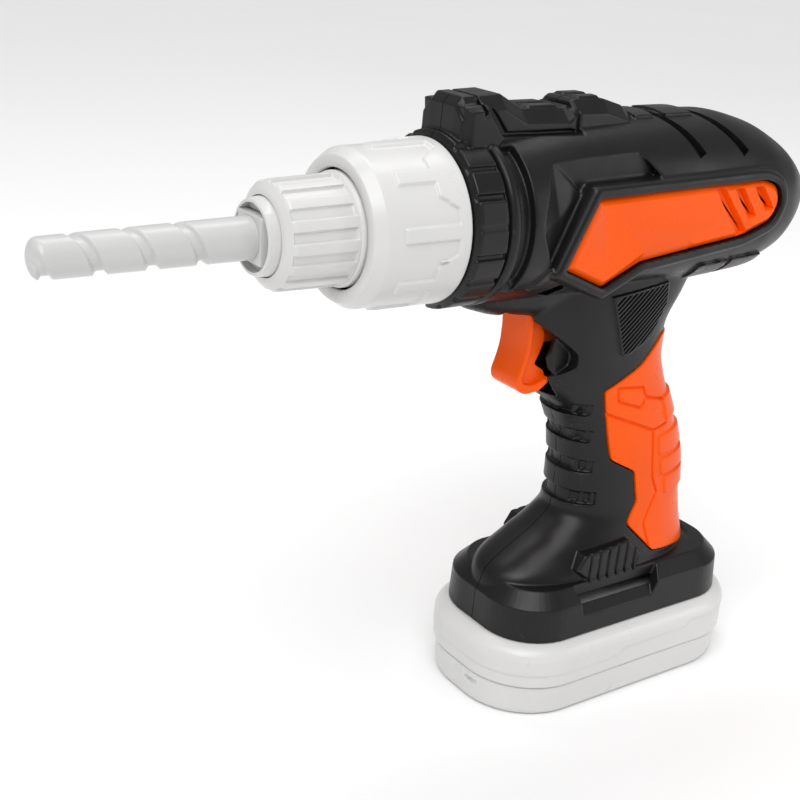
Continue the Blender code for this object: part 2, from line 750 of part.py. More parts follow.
def gear_outline(teeth, middle):
    """A gear's outline with straight-sided teeth; one tooth is centred on the angle `middle`."""
    pitch_radius = MODULE * teeth / 2
    tip, root = pitch_radius + MODULE, pitch_radius - 1.3 * MODULE
    half = math.pi * MODULE / 4 - BACKLASH / 2
    slope = math.tan(math.radians(20.0))
    at_tip = (half - MODULE * slope) / tip
    at_root = (half + 1.3 * MODULE * slope) / root
    outline = []
    for i in range(teeth):
        centre = middle + 2 * math.pi * i / teeth
        for angle, radius in ((-at_root, root), (-at_tip, tip), (at_tip, tip), (at_root, root)):
            outline.append((radius * math.cos(centre + angle), radius * math.sin(centre + angle)))
    return outline


def gear(name, teeth, middle, low, high, z):
    outline = [(u, z + v) for u, v in gear_outline(teeth, middle)]
    return prism(name, outline, "X", low, high)


def bore(made, radius, z, segments):
    cut(made, turned("bore", ((-40.0, radius), (0.0, radius)), "X", (0.0, z), segments))
    finish(made, PALE_PLASTIC, 20.0, (0.0, 0.0, z))


IDLER_Z = SPINDLE_Z - MODULE * (LARGE_TEETH + SMALL_TEETH) / 2


def gear_train():
    down, up = -math.pi / 2, math.pi / 2
    bore(gear("output_gear", LARGE_TEETH, down, -26.6, -22.6, SPINDLE_Z), SPINDLE_RADIUS + GAP,
         SPINDLE_Z, 16)
    bore(gear("motor_pinion", SMALL_TEETH, down, -20.4, -15.2, SPINDLE_Z), SHAFT_RADIUS + GAP,
         SPINDLE_Z, 10)
    shaft = ((-20.2, SHAFT_RADIUS), (MOTOR_FRONT + 3.0, SHAFT_RADIUS))
    finish(turned("motor_shaft", shaft, "X", (0.0, SPINDLE_Z), 10), STEEL, origin=SPINDLE_ORIGIN)

    # A gap between the idler's teeth points up, where each of the two upper gears has a tooth.
    idler = gear("idler_gear", LARGE_TEETH, up + math.pi / LARGE_TEETH, -20.8, -16.8, IDLER_Z)
    join(idler, gear("narrow", SMALL_TEETH, up + math.pi / SMALL_TEETH, -27.0, -18.8, IDLER_Z))
    bore(idler, PIN_RADIUS + GAP, IDLER_Z, 12)
    pin = ((-28.6, PIN_RADIUS), (-12.9, PIN_RADIUS))
    finish(turned("idler_pin", pin, "X", (0.0, IDLER_Z), 12), STEEL)


def gearbox():
    cover = prism("gearbox_cover", gearbox_outline(0.0), "X", GEARBOX_FRONT, GEARBOX_FRONT + 1.4)
    case = prism("gearbox_case", gearbox_outline(0.0), "X", GEARBOX_FRONT + 1.7, MOTOR_FRONT - GAP)
    cut(case, prism("inside", gearbox_outline(-CASE_WALL), "X", -40.0, MOTOR_FRONT - GAP - 1.4))
    hub = SPINDLE_RADIUS + GAP
    cut(cover, turned("hole", ((-40.0, hub), (-20.0, hub)), "X", (0.0, SPINDLE_Z), 20))
    cut(case, turned("hole", ((-20.0, 2.6), (0.0, 2.6)), "X", (0.0, SPINDLE_Z), 16))
    pin = PIN_RADIUS + GAP
    for part in (cover, case):
        cut(part, turned("pin hole", ((-40.0, pin), (0.0, pin)), "X", (0.0, IDLER_Z), 12))
    finish(cover, DARK_PLASTIC)
    finish(case, DARK_PLASTIC)


def motor():
    end = MOTOR_FRONT + MOTOR_LENGTH
    can = prism("motor_can", motor_outline(0.0), "X", MOTOR_FRONT, end)
    cut(can, turned("shaft hole", ((-14.0, 1.4), (-8.0, 1.4)), "X", (0.0, SPINDLE_Z), 10))
    finish(can, STEEL)
    cap = prism("motor_end_cap", motor_outline(-0.6), "X", end + GAP, end + 4.6)
    for side in (-1, 1):
        low, high = sorted((side * 3.4, side * 4.2))
        tab = box("tab", (end + 4.0, low, SPINDLE_Z - 6.0), (end + 7.6, high, SPINDLE_Z - 3.0))
        join(cap, tab)
    finish(cap, PALE_PLASTIC)


def spindle_parts():
    finish(turned("spindle", ((-106.2, SPINDLE_RADIUS), (-21.6, SPINDLE_RADIUS)), "X",
                  (0.0, SPINDLE_Z), 20), STEEL, origin=SPINDLE_ORIGIN)
    bush = ((-74.0, 7.0), (-73.2, 7.0), (-73.2, 5.0), (-67.0, 5.0), (-67.0, 2.8), (-74.0, 2.8))
    finish(ring_of("spindle_bush", bush, "X", (0.0, SPINDLE_Z), 16), BRASS)


def chuck():
    nose = turned("chuck_nose", ((NOSE_FRONT, 9.3), (NOSE_ROOT, 9.8), (NOSE_REAR, 9.8)), "X",
                  (0.0, SPINDLE_Z), 40)
    cut(nose, turned("mouth", ((NOSE_FRONT - 5.0, 8.5), (SOCKET_FRONT, 8.5)), "X", (0.0, SPINDLE_Z), 40))
    cut(nose, box("socket", (NOSE_FRONT - 5.0, -SOCKET_HALF, SPINDLE_Z - SOCKET_HALF),
                  (SOCKET_END, SOCKET_HALF, SPINDLE_Z + SOCKET_HALF)))
    hub = SPINDLE_RADIUS + GAP
    cut(nose, turned("hole", ((SOCKET_END - 5.0, hub), (-90.0, hub)), "X", (0.0, SPINDLE_Z), 20))
    finish(nose, PALE_GREY, origin=SPINDLE_ORIGIN)

    angles = []
    for i in range(SLEEVE_SLOTS):
        centre = SLOT_ANGLE + 360.0 * i / SLEEVE_SLOTS
        angles += [(centre - 6.8, 0), (centre - 6.2, 1), (centre + 6.2, 1), (centre + 6.8, 0)]
    profile = ((-120.9, 10.1, 0), (-120.5, 11.6, 0), (-119.3, 13.2, 0), (-118.6, 13.7, 0),
               (-118.4, 13.7, 1), (-102.4, 14.1, 1), (-102.2, 14.1, 0), (-101.8, 14.6, 0),
               (SLEEVE_REAR, 14.7, 0), (SLEEVE_REAR, 10.1, 0))
    finish(grooved_ring("chuck_sleeve", profile, angles, SLOT_DEPTH), PALE_GREY, origin=SPINDLE_ORIGIN)


def grooved_ring(name, profile, angles, depth):
    """A ring whose radius drops by `depth` where both the station and the angle are marked."""
    rings = []
    for x, radius, station_mark in profile:
        ring = []
        for angle, angle_mark in angles:
            here = radius - depth * station_mark * angle_mark
            turn = math.radians(angle)
            ring.append((x, -here * math.cos(turn), SPINDLE_Z + here * math.sin(turn)))
        rings.append(ring)
    return loft(name, rings, closed=True)


def torque_collar():
    """Stations along the collar: x, radius, whether ribs stand there, and its two crown sectors."""
    profile = ((COLLAR_FRONT, 18.3, 0, 0, 0), (-97.5, 20.4, 0, 0, 0), (-92.9, 20.5, 0, 0, 0),
               (-92.4, 20.5, 1, 0, 0), (-82.2, 20.7, 1, 0, 0), (-81.8, 20.7, 1, 1, 0),
               (-77.2, 20.8, 1, 1, 0), (-76.8, 20.8, 1, 1, 1), (-73.9, 20.9, 1, 1, 1),
               (COLLAR_REAR, 20.3, 1, 1, 1), (COLLAR_REAR, 17.2, 0, 0, 0), (-98.2, 17.2, 0, 0, 0),
               (-98.2, 15.3, 0, 0, 0), (COLLAR_FRONT, 15.3, 0, 0, 0))
    rings = []
    for x, radius, rib, wide, narrow in profile:
        ring = []
        for i in range(COLLAR_RIBS):
            centre = RIB_ANGLE + 360.0 * i / COLLAR_RIBS
            crown = wide if i % 2 or i == COLLAR_RIBS - 1 else narrow
            for turn, on_rib in ((-19.6, 0), (-5.4, 0), (-4.8, 1), (4.8, 1), (5.4, 0), (19.6, 0)):
                here = radius + RIB_HEIGHT * max(crown, rib * on_rib)
                angle = math.radians(centre + turn)
                ring.append((x, -here * math.cos(angle), SPINDLE_Z + here * math.sin(angle)))
        rings.append(ring)
    middle = (COLLAR_FRONT + COLLAR_REAR) / 2
    finish(loft("torque_collar", rings, closed=True), PALE_GREY, origin=(middle, 0.0, SPINDLE_Z))


def drill_bit():
    """A rounded tip, a body with one shallow helical flute, and a square root."""
    count, steps = 14, 32
    rings = []
    for i in range(steps + 1):
        x = BIT_TIP + (BIT_ROOT - BIT_TIP) * i / steps
        share = i / steps
        radius = BIT_TIP_RADIUS + (BIT_ROOT_RADIUS - BIT_TIP_RADIUS) * share
        from_tip = x - BIT_TIP
        if from_tip < 2.4:
            radius *= math.sqrt(max(0.16, 1.0 - ((2.4 - from_tip) / 2.6) ** 2))
        ring = []
        for k in range(count):
            turn = 2 * math.pi * k / count
            turns = (x - BIT_TIP - 4.0) / FLUTE_PITCH - turn / (2 * math.pi)
            away = abs(turns - round(turns)) * FLUTE_PITCH
            dip = max(0.0, 1.0 - (away / FLUTE_HALF_WIDTH) ** 2) if x < -133.0 else 0.0
            here = radius - FLUTE_DEPTH * dip
            ring.append((x, -here * math.sin(turn), SPINDLE_Z + here * math.cos(turn)))
        rings.append(ring)
    bit = loft("drill_bit", rings)
    half = BIT_SQUARE_HALF
    join(bit, box("square", (BIT_SQUARE_FRONT, -half, SPINDLE_Z - half),
                  (BIT_SQUARE_END, half, SPINDLE_Z + half)),
         turned("root", ((BIT_ROOT - 1.0, 5.3), (BIT_SQUARE_FRONT + 1.0, 5.3)), "X", (0.0, SPINDLE_Z), 18))
    finish(bit, BIT_GREY, origin=(BIT_SQUARE_END, 0.0, SPINDLE_Z))


def battery_base():
    case = rounded_block("battery_case", CASE_STATIONS)
    case_inside = [(z, length, width, corner) for z, length, width, corner in
                   ((5.0, 47.6, 25.1, 20.0), (18.0, 47.4, 24.9, 20.0), (21.4, 44.8, 22.6, 18.0))]
    cut(case, rounded_block("inside", case_inside))
    join(case, box("spigot", (-SPIGOT[0], -SPIGOT[1], 22.6), (SPIGOT[0], SPIGOT[1], 27.0)),
         box("flange", (-FLANGE[0], -FLANGE[1], 26.4), (FLANGE[0], FLANGE[1], 28.0)))
    cut(case, box("wire hole", (-WIRE_HOLE[0], -WIRE_HOLE[1], 15.0), (WIRE_HOLE[0], WIRE_HOLE[1], 32.0)))
    for side in (-1, 1):
        low, high = sorted((side * DIVIDER_X, side * (DIVIDER_X + 1.4)))
        join(case, box("divider", (low, -26.0, BASE_SPLIT + 0.6), (high, 26.0, 22.0)))
    join(case, turned("post", ((BASE_SPLIT + 0.6, POST_RADIUS), (22.0, POST_RADIUS)), "Z",
                      (COVER_SCREW_X, 0.0), 14))
    pilot = SCREW_RADIUS + GAP
    cut(case, turned("hole", ((5.0, pilot), (18.6, pilot)), "Z", (COVER_SCREW_X, 0.0), 12))
    finish(case, PALE_GREY)

    cover = rounded_block("battery_cover", COVER_STATIONS)
    cut(cover, rounded_block("inside", ((1.8, 46.0, 23.2, 19.6), (14.0, 46.8, 24.2, 20.0))))
    join(cover, turned("post", ((0.8, 4.4), (BASE_SPLIT - GAP, 4.4)), "Z", (COVER_SCREW_X, 0.0), 16))
    cut(cover, turned("hole", ((-2.0, SCREW_HEAD_RADIUS + GAP), (3.4, SCREW_HEAD_RADIUS + GAP),
                               (3.4, pilot), (14.0, pilot)), "Z", (COVER_SCREW_X, 0.0), 14))
    cut(cover, box("pry notch", (-60.0, -9.0, 6.2), (-47.8, -4.0, 7.8)))
    finish(cover, PALE_GREY)
    finish(screw("cover_screw", "Z", (COVER_SCREW_X, 0.0), 3.1, 17.6, -1), STEEL)


def screw(name, axis, centre, seat, tip, head_way):
    """A screw whose head sits outside `seat` in the direction head_way, with a cross recess."""
    stations = [(tip, 0.5), (tip + head_way * 1.6, SCREW_RADIUS), (seat, SCREW_RADIUS),
                (seat, SCREW_HEAD_RADIUS), (seat + head_way * (SCREW_HEAD - 0.6), SCREW_HEAD_RADIUS),
                (seat + head_way * SCREW_HEAD, 1.7)]
    made = turned(name, stations, axis, centre, 8)
    top = seat + head_way * SCREW_HEAD
    low, high = sorted((top - head_way * 1.0, top + head_way))
    for wide, narrow in ((1.4, 0.35), (0.35, 1.4)):
        outline = ((centre[0] - wide, centre[1] - narrow), (centre[0] + wide, centre[1] - narrow),
                   (centre[0] + wide, centre[1] + narrow), (centre[0] - wide, centre[1] + narrow))
        cut(made, prism("recess", outline, axis, low, high))
    return made


def housing_screws():
    for number, (x, z, half, seat) in enumerate(SCREW_SITES, 1):
        finish(screw(f"housing_screw_{number}", "Y", (x, z), seat + GAP, -5.6, 1), STEEL)


def batteries():
    """Three cells in a row, each turned round from the one beside it, with a spring at its flat end."""
    for number in (1, 2, 3):
        y = (number - 2) * CELL_PITCH
        way = -1 if number == 2 else 1
        stations = [(-way * CELL_HALF_LENGTH, CELL_RADIUS), (way * (CELL_HALF_LENGTH - 0.6), CELL_RADIUS),
                    (way * CELL_HALF_LENGTH, CELL_RADIUS - 0.8), (way * CELL_HALF_LENGTH, 2.6),
                    (way * (CELL_HALF_LENGTH + 1.4), 2.4)]
        finish(turned(f"battery_cell_{number}", stations, "X", (y, CELL_Z), 16), CELL_SKIN)
        start, end = way * -(CELL_HALF_LENGTH + 0.8), way * -(CONTACT_X - 0.8)
        spring = helix(f"cell_spring_{number}", "X", (y, CELL_Z), start, end, 2.8, 0.35, 2.5)
        finish(spring, STEEL)
    half, low, high = 5.0, 6.4, 17.4
    plates = (
        ("contact_negative", -1, -CELL_PITCH - half, -CELL_PITCH + half),
        ("contact_bridge_front", -1, -half, CELL_PITCH + half),
        ("contact_bridge_rear", 1, -CELL_PITCH - half, half),
        ("contact_positive", 1, CELL_PITCH - half, CELL_PITCH + half),
    )
    for name, side, first, last in plates:
        near, far = sorted((side * CONTACT_X, side * (CONTACT_X + 0.5)))
        finish(box(name, (near, first, low), (far, last, high)), STEEL)


def smooth_route(corners, steps):
    """Points along a smooth curve through the corners."""
    points = [Vector(corner) for corner in corners]
    path = []
    for i in range(len(points) - 1):
        before, here = points[max(i - 1, 0)], points[i]
        ahead, after = points[i + 1], points[min(i + 2, len(points) - 1)]
        for step in range(steps):
            t = step / steps
            path.append(0.5 * (2 * here + (ahead - before) * t
                               + (2 * before - 5 * here + 4 * ahead - after) * t * t
                               + (3 * here - before - 3 * ahead + after) * t ** 3))
    return path + [points[-1]]


def wires():
    routes = (
        ("wire_battery_to_switch", RED_PLASTIC,
         ((27.6, 15.0, 20.2), (18.0, 9.0, 20.4), (6.0, 2.4, 20.6), (2.6, 2.0, 30.0), (7.0, 2.0, 60.0),
          (4.0, 2.0, 92.0), (1.6, 2.0, 106.0), (0.6, 2.0, 112.6), (-2.6, 2.0, 114.0))),
        ("wire_switch_to_motor", YELLOW_PLASTIC,
         ((-2.6, -1.6, 116.6), (2.0, 0.0, 117.6), (8.0, 1.8, 120.0), (13.0, 2.0, 125.0),
          (18.0, 1.0, 132.0), (22.4, -2.6, 138.4), (23.6, -3.8, 142.4), (21.4, -3.8, 145.4))),
        ("wire_motor_to_battery", BLACK_PLASTIC,
         ((-27.6, -15.0, 20.2), (-18.0, -9.0, 20.4), (-6.0, -3.2, 20.6), (-1.4, -3.0, 30.0),
          (4.4, -3.0, 60.0), (3.6, -3.4, 92.0), (3.6, -3.4, 105.0), (5.4, -3.4, 113.0),
          (9.6, -3.4, 121.0), (15.0, -3.4, 128.6), (20.6, -4.4, 134.4), (25.8, -2.6, 138.0),
          (26.6, 1.6, 142.0), (21.4, 3.8, 145.4))),
    )
    for name, colour, corners in routes:
        finish(wire_along(name, smooth_route(corners, 3), 0.6, 5), colour)


for leftover in list(bpy.data.objects):
    bpy.data.objects.remove(leftover)

BLACK = paint("black_shell", (0.022, 0.021, 0.022), 0.42)
ORANGE = paint("orange_trim", (0.95, 0.16, 0.01), 0.3)
PALE_GREY = paint("pale_grey", (0.74, 0.73, 0.73), 0.34)
BIT_GREY = paint("bit_grey", (0.62, 0.62, 0.63), 0.36)
DARK_PLASTIC = paint("dark_plastic", (0.05, 0.05, 0.055), 0.5)
PALE_PLASTIC = paint("pale_plastic", (0.86, 0.85, 0.8), 0.4)
RED_PLASTIC = paint("red_plastic", (0.6, 0.02, 0.02), 0.45)
YELLOW_PLASTIC = paint("yellow_plastic", (0.75, 0.55, 0.03), 0.45)
BLACK_PLASTIC = paint("black_plastic", (0.02, 0.02, 0.02), 0.45)
STEEL = paint("steel", (0.62, 0.62, 0.63), 0.28, 1.0)
BRASS = paint("brass", (0.78, 0.57, 0.24), 0.3, 1.0)
CELL_SKIN = paint("cell_skin", (0.1, 0.16, 0.32), 0.35)

housing()
side_panels()
grip_backstrap()
trigger()
trigger_parts()
gear_train()
gearbox()
motor()
spindle_parts()
chuck()
torque_collar()
drill_bit()
battery_base()
housing_screws()
batteries()
wires()
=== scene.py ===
import json
import math

import bmesh
import bpy
from mathutils import Matrix, Vector


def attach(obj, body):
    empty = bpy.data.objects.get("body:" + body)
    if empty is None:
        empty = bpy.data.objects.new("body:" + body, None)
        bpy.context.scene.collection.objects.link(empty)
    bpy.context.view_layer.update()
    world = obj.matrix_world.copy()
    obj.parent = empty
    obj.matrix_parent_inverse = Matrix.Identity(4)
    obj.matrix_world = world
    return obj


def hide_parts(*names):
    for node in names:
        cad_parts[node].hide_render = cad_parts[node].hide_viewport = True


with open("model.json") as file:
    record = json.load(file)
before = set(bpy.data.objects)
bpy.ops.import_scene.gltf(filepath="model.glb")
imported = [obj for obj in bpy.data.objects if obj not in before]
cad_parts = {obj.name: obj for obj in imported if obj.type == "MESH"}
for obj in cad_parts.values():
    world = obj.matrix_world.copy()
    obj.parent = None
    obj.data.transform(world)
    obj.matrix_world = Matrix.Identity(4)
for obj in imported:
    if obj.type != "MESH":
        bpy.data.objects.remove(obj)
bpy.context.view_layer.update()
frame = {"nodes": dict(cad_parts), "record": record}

MM = 0.001
SPINDLE_Z = 150.0

BARREL = (
    (-60.4, 22.8, 172.8, 127.2, 2.0),
    (-52.0, 23.3, 173.4, 126.7, 2.0),
    (-38.0, 22.4, 174.4, 126.2, 2.2),
    (-18.0, 22.0, 175.2, 126.0, 2.3),
    (4.0, 22.0, 175.6, 126.2, 2.3),
    (22.0, 21.8, 175.4, 127.0, 2.3),
    (36.0, 21.2, 172.6, 128.0, 2.3),
    (47.0, 19.0, 167.8, 130.6, 2.3),
    (56.0, 14.6, 162.2, 135.2, 2.2),
    (62.0, 9.0, 156.6, 140.8, 2.1),
    (64.9, 2.4, 152.0, 146.8, 2.0),
)
HANDLE = (
    (134.0, -45.0, 27.0, 14.4),
    (124.0, -42.0, 21.4, 14.4),
    (113.0, -36.8, 15.2, 14.1),
    (105.0, -34.2, 14.6, 14.0),
    (98.6, -30.6, 16.2, 14.0),
    (88.0, -22.0, 20.8, 14.0),
    (79.0, -18.8, 25.0, 14.0),
    (68.0, -17.8, 28.6, 14.0),
    (57.0, -18.2, 30.4, 14.2),
    (51.0, -24.5, 31.6, 15.0),
    (46.0, -33.2, 32.8, 16.2),
    (39.6, -42.0, 34.4, 18.0),
    (33.0, -44.0, 35.2, 18.8),
)
FOOT = (
    (23.9, 44.9, 23.5, 17.0),
    (34.2, 44.5, 23.1, 17.0),
    (38.6, 40.4, 19.0, 13.6),
)
RAIL = (
    (-70.4, 166.0, 5.0),
    (-69.8, 180.2, 5.2),
    (-67.9, 182.4, 5.4),
    (-56.0, 182.8, 5.4),
    (-48.4, 178.8, 5.2),
    (-34.6, 178.4, 5.2),
    (-30.8, 180.6, 5.2),
    (-20.4, 180.4, 5.2),
    (-13.4, 178.4, 5.0),
    (-3.4, 171.0, 4.4),
)
PANEL = (
    (-32.5, 157.2), (31.0, 158.2), (36.6, 156.2), (38.6, 151.6), (36.2, 146.0),
    (25.0, 142.4), (-14.5, 138.5), (-28.0, 132.7), (-41.8, 139.0),
)
STRAP = (
    (9.0, 111.5), (-0.6, 103.8), (-14.2, 97.4), (-7.4, 74.3), (1.8, 69.3),
    (4.2, 58.6), (0.8, 52.0), (11.0, 41.8), (46.0, 37.0), (46.0, 112.0),
)
TRIGGER_PIVOT = (-33.4, 130.2)
SCREWS = (
    (-62.0, 136.0, 9.9),
    (52.0, 150.0, 11.3),
    (30.0, 165.0, 11.9),
    (-13.6, 101.0, 8.7),
    (-4.0, 60.0, 8.7),
)
COVER_SCREW_X = 42.0
# Angles round the barrel, up from the near side, of the gaps between the front ring's pads.
PAD_EDGES = (64.0, 45.0, 26.0, 7.0, -12.0, -31.0, -50.0, -69.0, -88.0)
PANEL_ROUND = [0.8, 5.0, 4.0, 5.0, 4.0, 2.0, 1.0, 1.0, 0.8]
THUMB = ((-16.7, 126.6), (5.4, 128.8), (6.4, 121.8), (1.8, 112.4), (-8.4, 107.9), (-10.4, 108.6))
WELL_WALL = (
    (-38.4, 127.0), (-31.0, 123.4), (-33.0, 118.4), (-30.4, 114.2), (-31.5, 110.4), (-33.6, 106.2),
    (-29.9, 103.9), (-28.7, 100.6), (-31.0, 96.0), (-20.0, 96.0), (-20.0, 127.0),
)
LATCH = ((-21.0, 42.4), (-18.0, 46.8), (-0.6, 48.4), (5.6, 42.6), (3.0, 38.0), (-15.6, 38.0))
PARTING_GAP = 0.24
TRIGGER_SLOT_HALF = 6.7
WELL_WALL_FACE = 8.2
# Voxel sizes for the soft body, the body with its panel rims, and the finished shell.
BODY_SKIN, RIM_SKIN, SHELL_SKIN = 0.6, 0.45, 0.32
# The camera: focal length over picture width, its three angles in degrees, and what it looks at in metres.
FOCAL_SHARE = 1353.59 / 800.0
CAMERA_ANGLES = (-35.31, 21.11, 3.82)
CAMERA_TARGET = (-0.07694, 0.0, 0.10047)
CAMERA_DISTANCE = 0.36718


# ---------- mesh building, in millimetres ----------


def solid(name, points, faces):
    mesh = bpy.data.meshes.new(name)
    mesh.from_pydata([Vector(point) for point in points], [], faces)
    work = bmesh.new()
    work.from_mesh(mesh)
    bmesh.ops.recalc_face_normals(work, faces=work.faces)
    work.to_mesh(mesh)
    work.free()
    made = bpy.data.objects.new(name, mesh)
    bpy.context.scene.collection.objects.link(made)
    return made


def loft(name, rings, closed=False):
    count = len(rings[0])
    points = [point for ring in rings for point in ring]
    pairs = [(i, i + 1) for i in range(len(rings) - 1)]
    faces = []
    if closed:
        pairs.append((len(rings) - 1, 0))
    else:
        faces.append(tuple(range(count)))
        faces.append(tuple(range(len(points) - count, len(points))))
    for low, high in pairs:
        for i in range(count):
            j = (i + 1) % count
            faces.append((low * count + i, low * count + j, high * count + j, high * count + i))
    return solid(name, points, faces)


def point_on(axis, along, u, v):
    if axis == "X":
        return (along, u, v)
    if axis == "Y":
        return (u, along, v)
    return (u, v, along)


def prism(name, outline, axis, low, high):
    return loft(name, [[point_on(axis, at, u, v) for u, v in outline] for at in (low, high)])


def box(name, low, high):
    outline = ((low[0], low[1]), (high[0], low[1]), (high[0], high[1]), (low[0], high[1]))
    return prism(name, outline, "Z", low[2], high[2])


def circle(radius, segments, centre=(0.0, 0.0)):
    turns = [2 * math.pi * i / segments for i in range(segments)]
    return [(centre[0] + radius * math.cos(t), centre[1] + radius * math.sin(t)) for t in turns]


def turned(name, stations, axis, centre, segments=96, closed=False):
    rings = []
    for along, radius in stations:
        rings.append([point_on(axis, along, u, v) for u, v in circle(radius, segments, centre)])
    return loft(name, rings, closed)


def applied(target):
    """The object with its modifiers made part of its mesh."""
    graph = bpy.context.evaluated_depsgraph_get()
    result = bpy.data.meshes.new_from_object(target.evaluated_get(graph))
    target.modifiers.clear()
    before = target.data
    target.data = result
    bpy.data.meshes.remove(before)
    return target


def combine(target, other, operation):
    for item in (target, other):
        work = bmesh.new()
        work.from_mesh(item.data)
        bmesh.ops.triangulate(work, faces=[face for face in work.faces if len(face.verts) > 3])
        work.to_mesh(item.data)
        work.free()
    modifier = target.modifiers.new(operation, "BOOLEAN")
    modifier.operation = operation
    modifier.object = other
    modifier.solver = "MANIFOLD"
    applied(target)
    bpy.data.objects.remove(other)
    return target


def cut(target, *cutters):
    for cutter in cutters:
        combine(target, cutter, "DIFFERENCE")
    return target


def join(target, *others):
    for other in others:
        combine(target, other, "UNION")
    return target


def keep(target, other):
    return combine(target, other, "INTERSECT")


def heap(name, parts):
    """One mesh of several overlapping solids, for a remesh to fuse."""
    work = bmesh.new()
    for part in parts:
        work.from_mesh(part.data)
        bpy.data.objects.remove(part)
    mesh = bpy.data.meshes.new(name)
    work.to_mesh(mesh)
    work.free()
    made = bpy.data.objects.new(name, mesh)
    bpy.context.scene.collection.objects.link(made)
    return made


def fused(target, size, rounds, factor=0.5):
    """The object as one even skin, its edges softened by a number of smoothing rounds."""
    modifier = target.modifiers.new("skin", "REMESH")
    modifier.mode = "VOXEL"
    modifier.voxel_size = size * 1.0
    if rounds:
        soft = target.modifiers.new("soft", "SMOOTH")
        soft.factor = factor
        soft.iterations = max(1, rounds // (1))
    return applied(target)


def bevelled(target, width, segments=3, angle=35.0):
    modifier = target.modifiers.new("bevel", "BEVEL")
    modifier.width = width
    modifier.segments = segments
    modifier.limit_method = "ANGLE"
    modifier.angle_limit = math.radians(angle)
    modifier.harden_normals = False
    return applied(target)


def copy_of(source, name):
    made = bpy.data.objects.new(name, source.data.copy())
    bpy.context.scene.collection.objects.link(made)
    return made


def finish(made, material, body, nodes=(), sharp=40.0):
    made.data.transform(Matrix.Scale(MM, 4))
    made.data.shade_smooth()
    if sharp:
        made.data.set_sharp_from_angle(angle=math.radians(sharp))
    made.data.materials.clear()
    made.data.materials.append(material)
    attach(made, body)
    if nodes:
        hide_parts(*nodes)
    return made


# ---------- outlines and sections ----------


def superellipse(half_u, high_v, low_v, roundness, count):
    points = []
    for i in range(count):
        turn = 2 * math.pi * i / count
        c, s = math.cos(turn), math.sin(turn)
        u = half_u * math.copysign(abs(c) ** (2 / roundness), c)
        v = (high_v if s > 0 else low_v) * math.copysign(abs(s) ** (2 / roundness), s)
        points.append((u, v))
    return points


def rounded_rectangle(half_u, half_v, corner, steps=14, along=6):
    """A rectangle with round corners, with a few points along each straight side too."""
    corners = []
    for quadrant, (su, sv) in enumerate(((1, 1), (-1, 1), (-1, -1), (1, -1))):
        for i in range(steps + 1):
            turn = math.pi / 2 * (quadrant + i / steps)
            corners.append((su * (half_u - corner) + corner * math.cos(turn),
                            sv * (half_v - corner) + corner * math.sin(turn)))
        here = corners[-1]
        su, sv = ((-1, 1), (-1, -1), (1, -1), (1, 1))[quadrant]
        turn = math.pi / 2 * (quadrant + 1)
        next_corner = (su * (half_u - corner) + corner * math.cos(turn),
                       sv * (half_v - corner) + corner * math.sin(turn))
        for k in range(1, along):
            share = k / along
            corners.append((here[0] + (next_corner[0] - here[0]) * share,
                            here[1] + (next_corner[1] - here[1]) * share))
    return corners


def offset_outline(outline, distance):
    count = len(outline)
    area = sum(outline[i - 1][0] * outline[i][1] - outline[i][0] * outline[i - 1][1] for i in range(count))
    side = 1.0 if area > 0 else -1.0
    moved = []
    for i in range(count):
        here = Vector(outline[i])
        before = (here - Vector(outline[i - 1])).normalized()
        after = (Vector(outline[(i + 1) % count]) - here).normalized()
        normal_before = Vector((before.y, -before.x)) * side
        normal_after = Vector((after.y, -after.x)) * side
        bisector = (normal_before + normal_after).normalized()
        reach = distance / max(0.4, bisector.dot(normal_before))
        moved.append(tuple(here + bisector * reach))
    return moved


def round_outline(outline, radius, steps=5):
    """The outline with each corner turned into a small curve."""
    count = len(outline)
    made = []
    for i in range(count):
        here = Vector(outline[i])
        before, after = Vector(outline[i - 1]), Vector(outline[(i + 1) % count])
        wanted = radius[i] if isinstance(radius, (tuple, list)) else radius
        reach = min(wanted, (before - here).length * 0.45, (after - here).length * 0.45)
        start = here + (before - here).normalized() * reach
        end = here + (after - here).normalized() * reach
        for k in range(steps + 1):
            t = k / steps
            made.append(tuple(start * (1 - t) ** 2 + here * 2 * t * (1 - t) + end * t * t))
    return made


def smooth_rows(rows, step):
    """Rows read off smooth curves through the given ones, with no overshoot."""
    keys = [row[0] for row in rows]
    columns = list(zip(*rows))[1:]
    slopes = []
    for column in columns:
        secants = [(column[i + 1] - column[i]) / (keys[i + 1] - keys[i]) for i in range(len(keys) - 1)]
        tangents = [secants[0]]
        for a, b in zip(secants, secants[1:]):
            tangents.append(0.0 if a * b <= 0 else 2 * a * b / (a + b))
        tangents.append(secants[-1])
        slopes.append(tangents)
    made = []
    for i in range(len(keys) - 1):
        span = keys[i + 1] - keys[i]
        count = max(1, round(abs(span) / step))
        for k in range(count):
            t = k / count
            row = [keys[i] + span * t]
            for column, slope in zip(columns, slopes):
                row.append((2 * t ** 3 - 3 * t ** 2 + 1) * column[i]
                           + (t ** 3 - 2 * t ** 2 + t) * span * slope[i]
                           + (-2 * t ** 3 + 3 * t ** 2) * column[i + 1]
                           + (t ** 3 - t ** 2) * span * slope[i + 1])
            made.append(tuple(row))
    return made + [rows[-1]]


def step_between(low, high, value):
    t = min(1.0, max(0.0, (value - low) / (high - low)))
    return t * t * (3 - 2 * t)


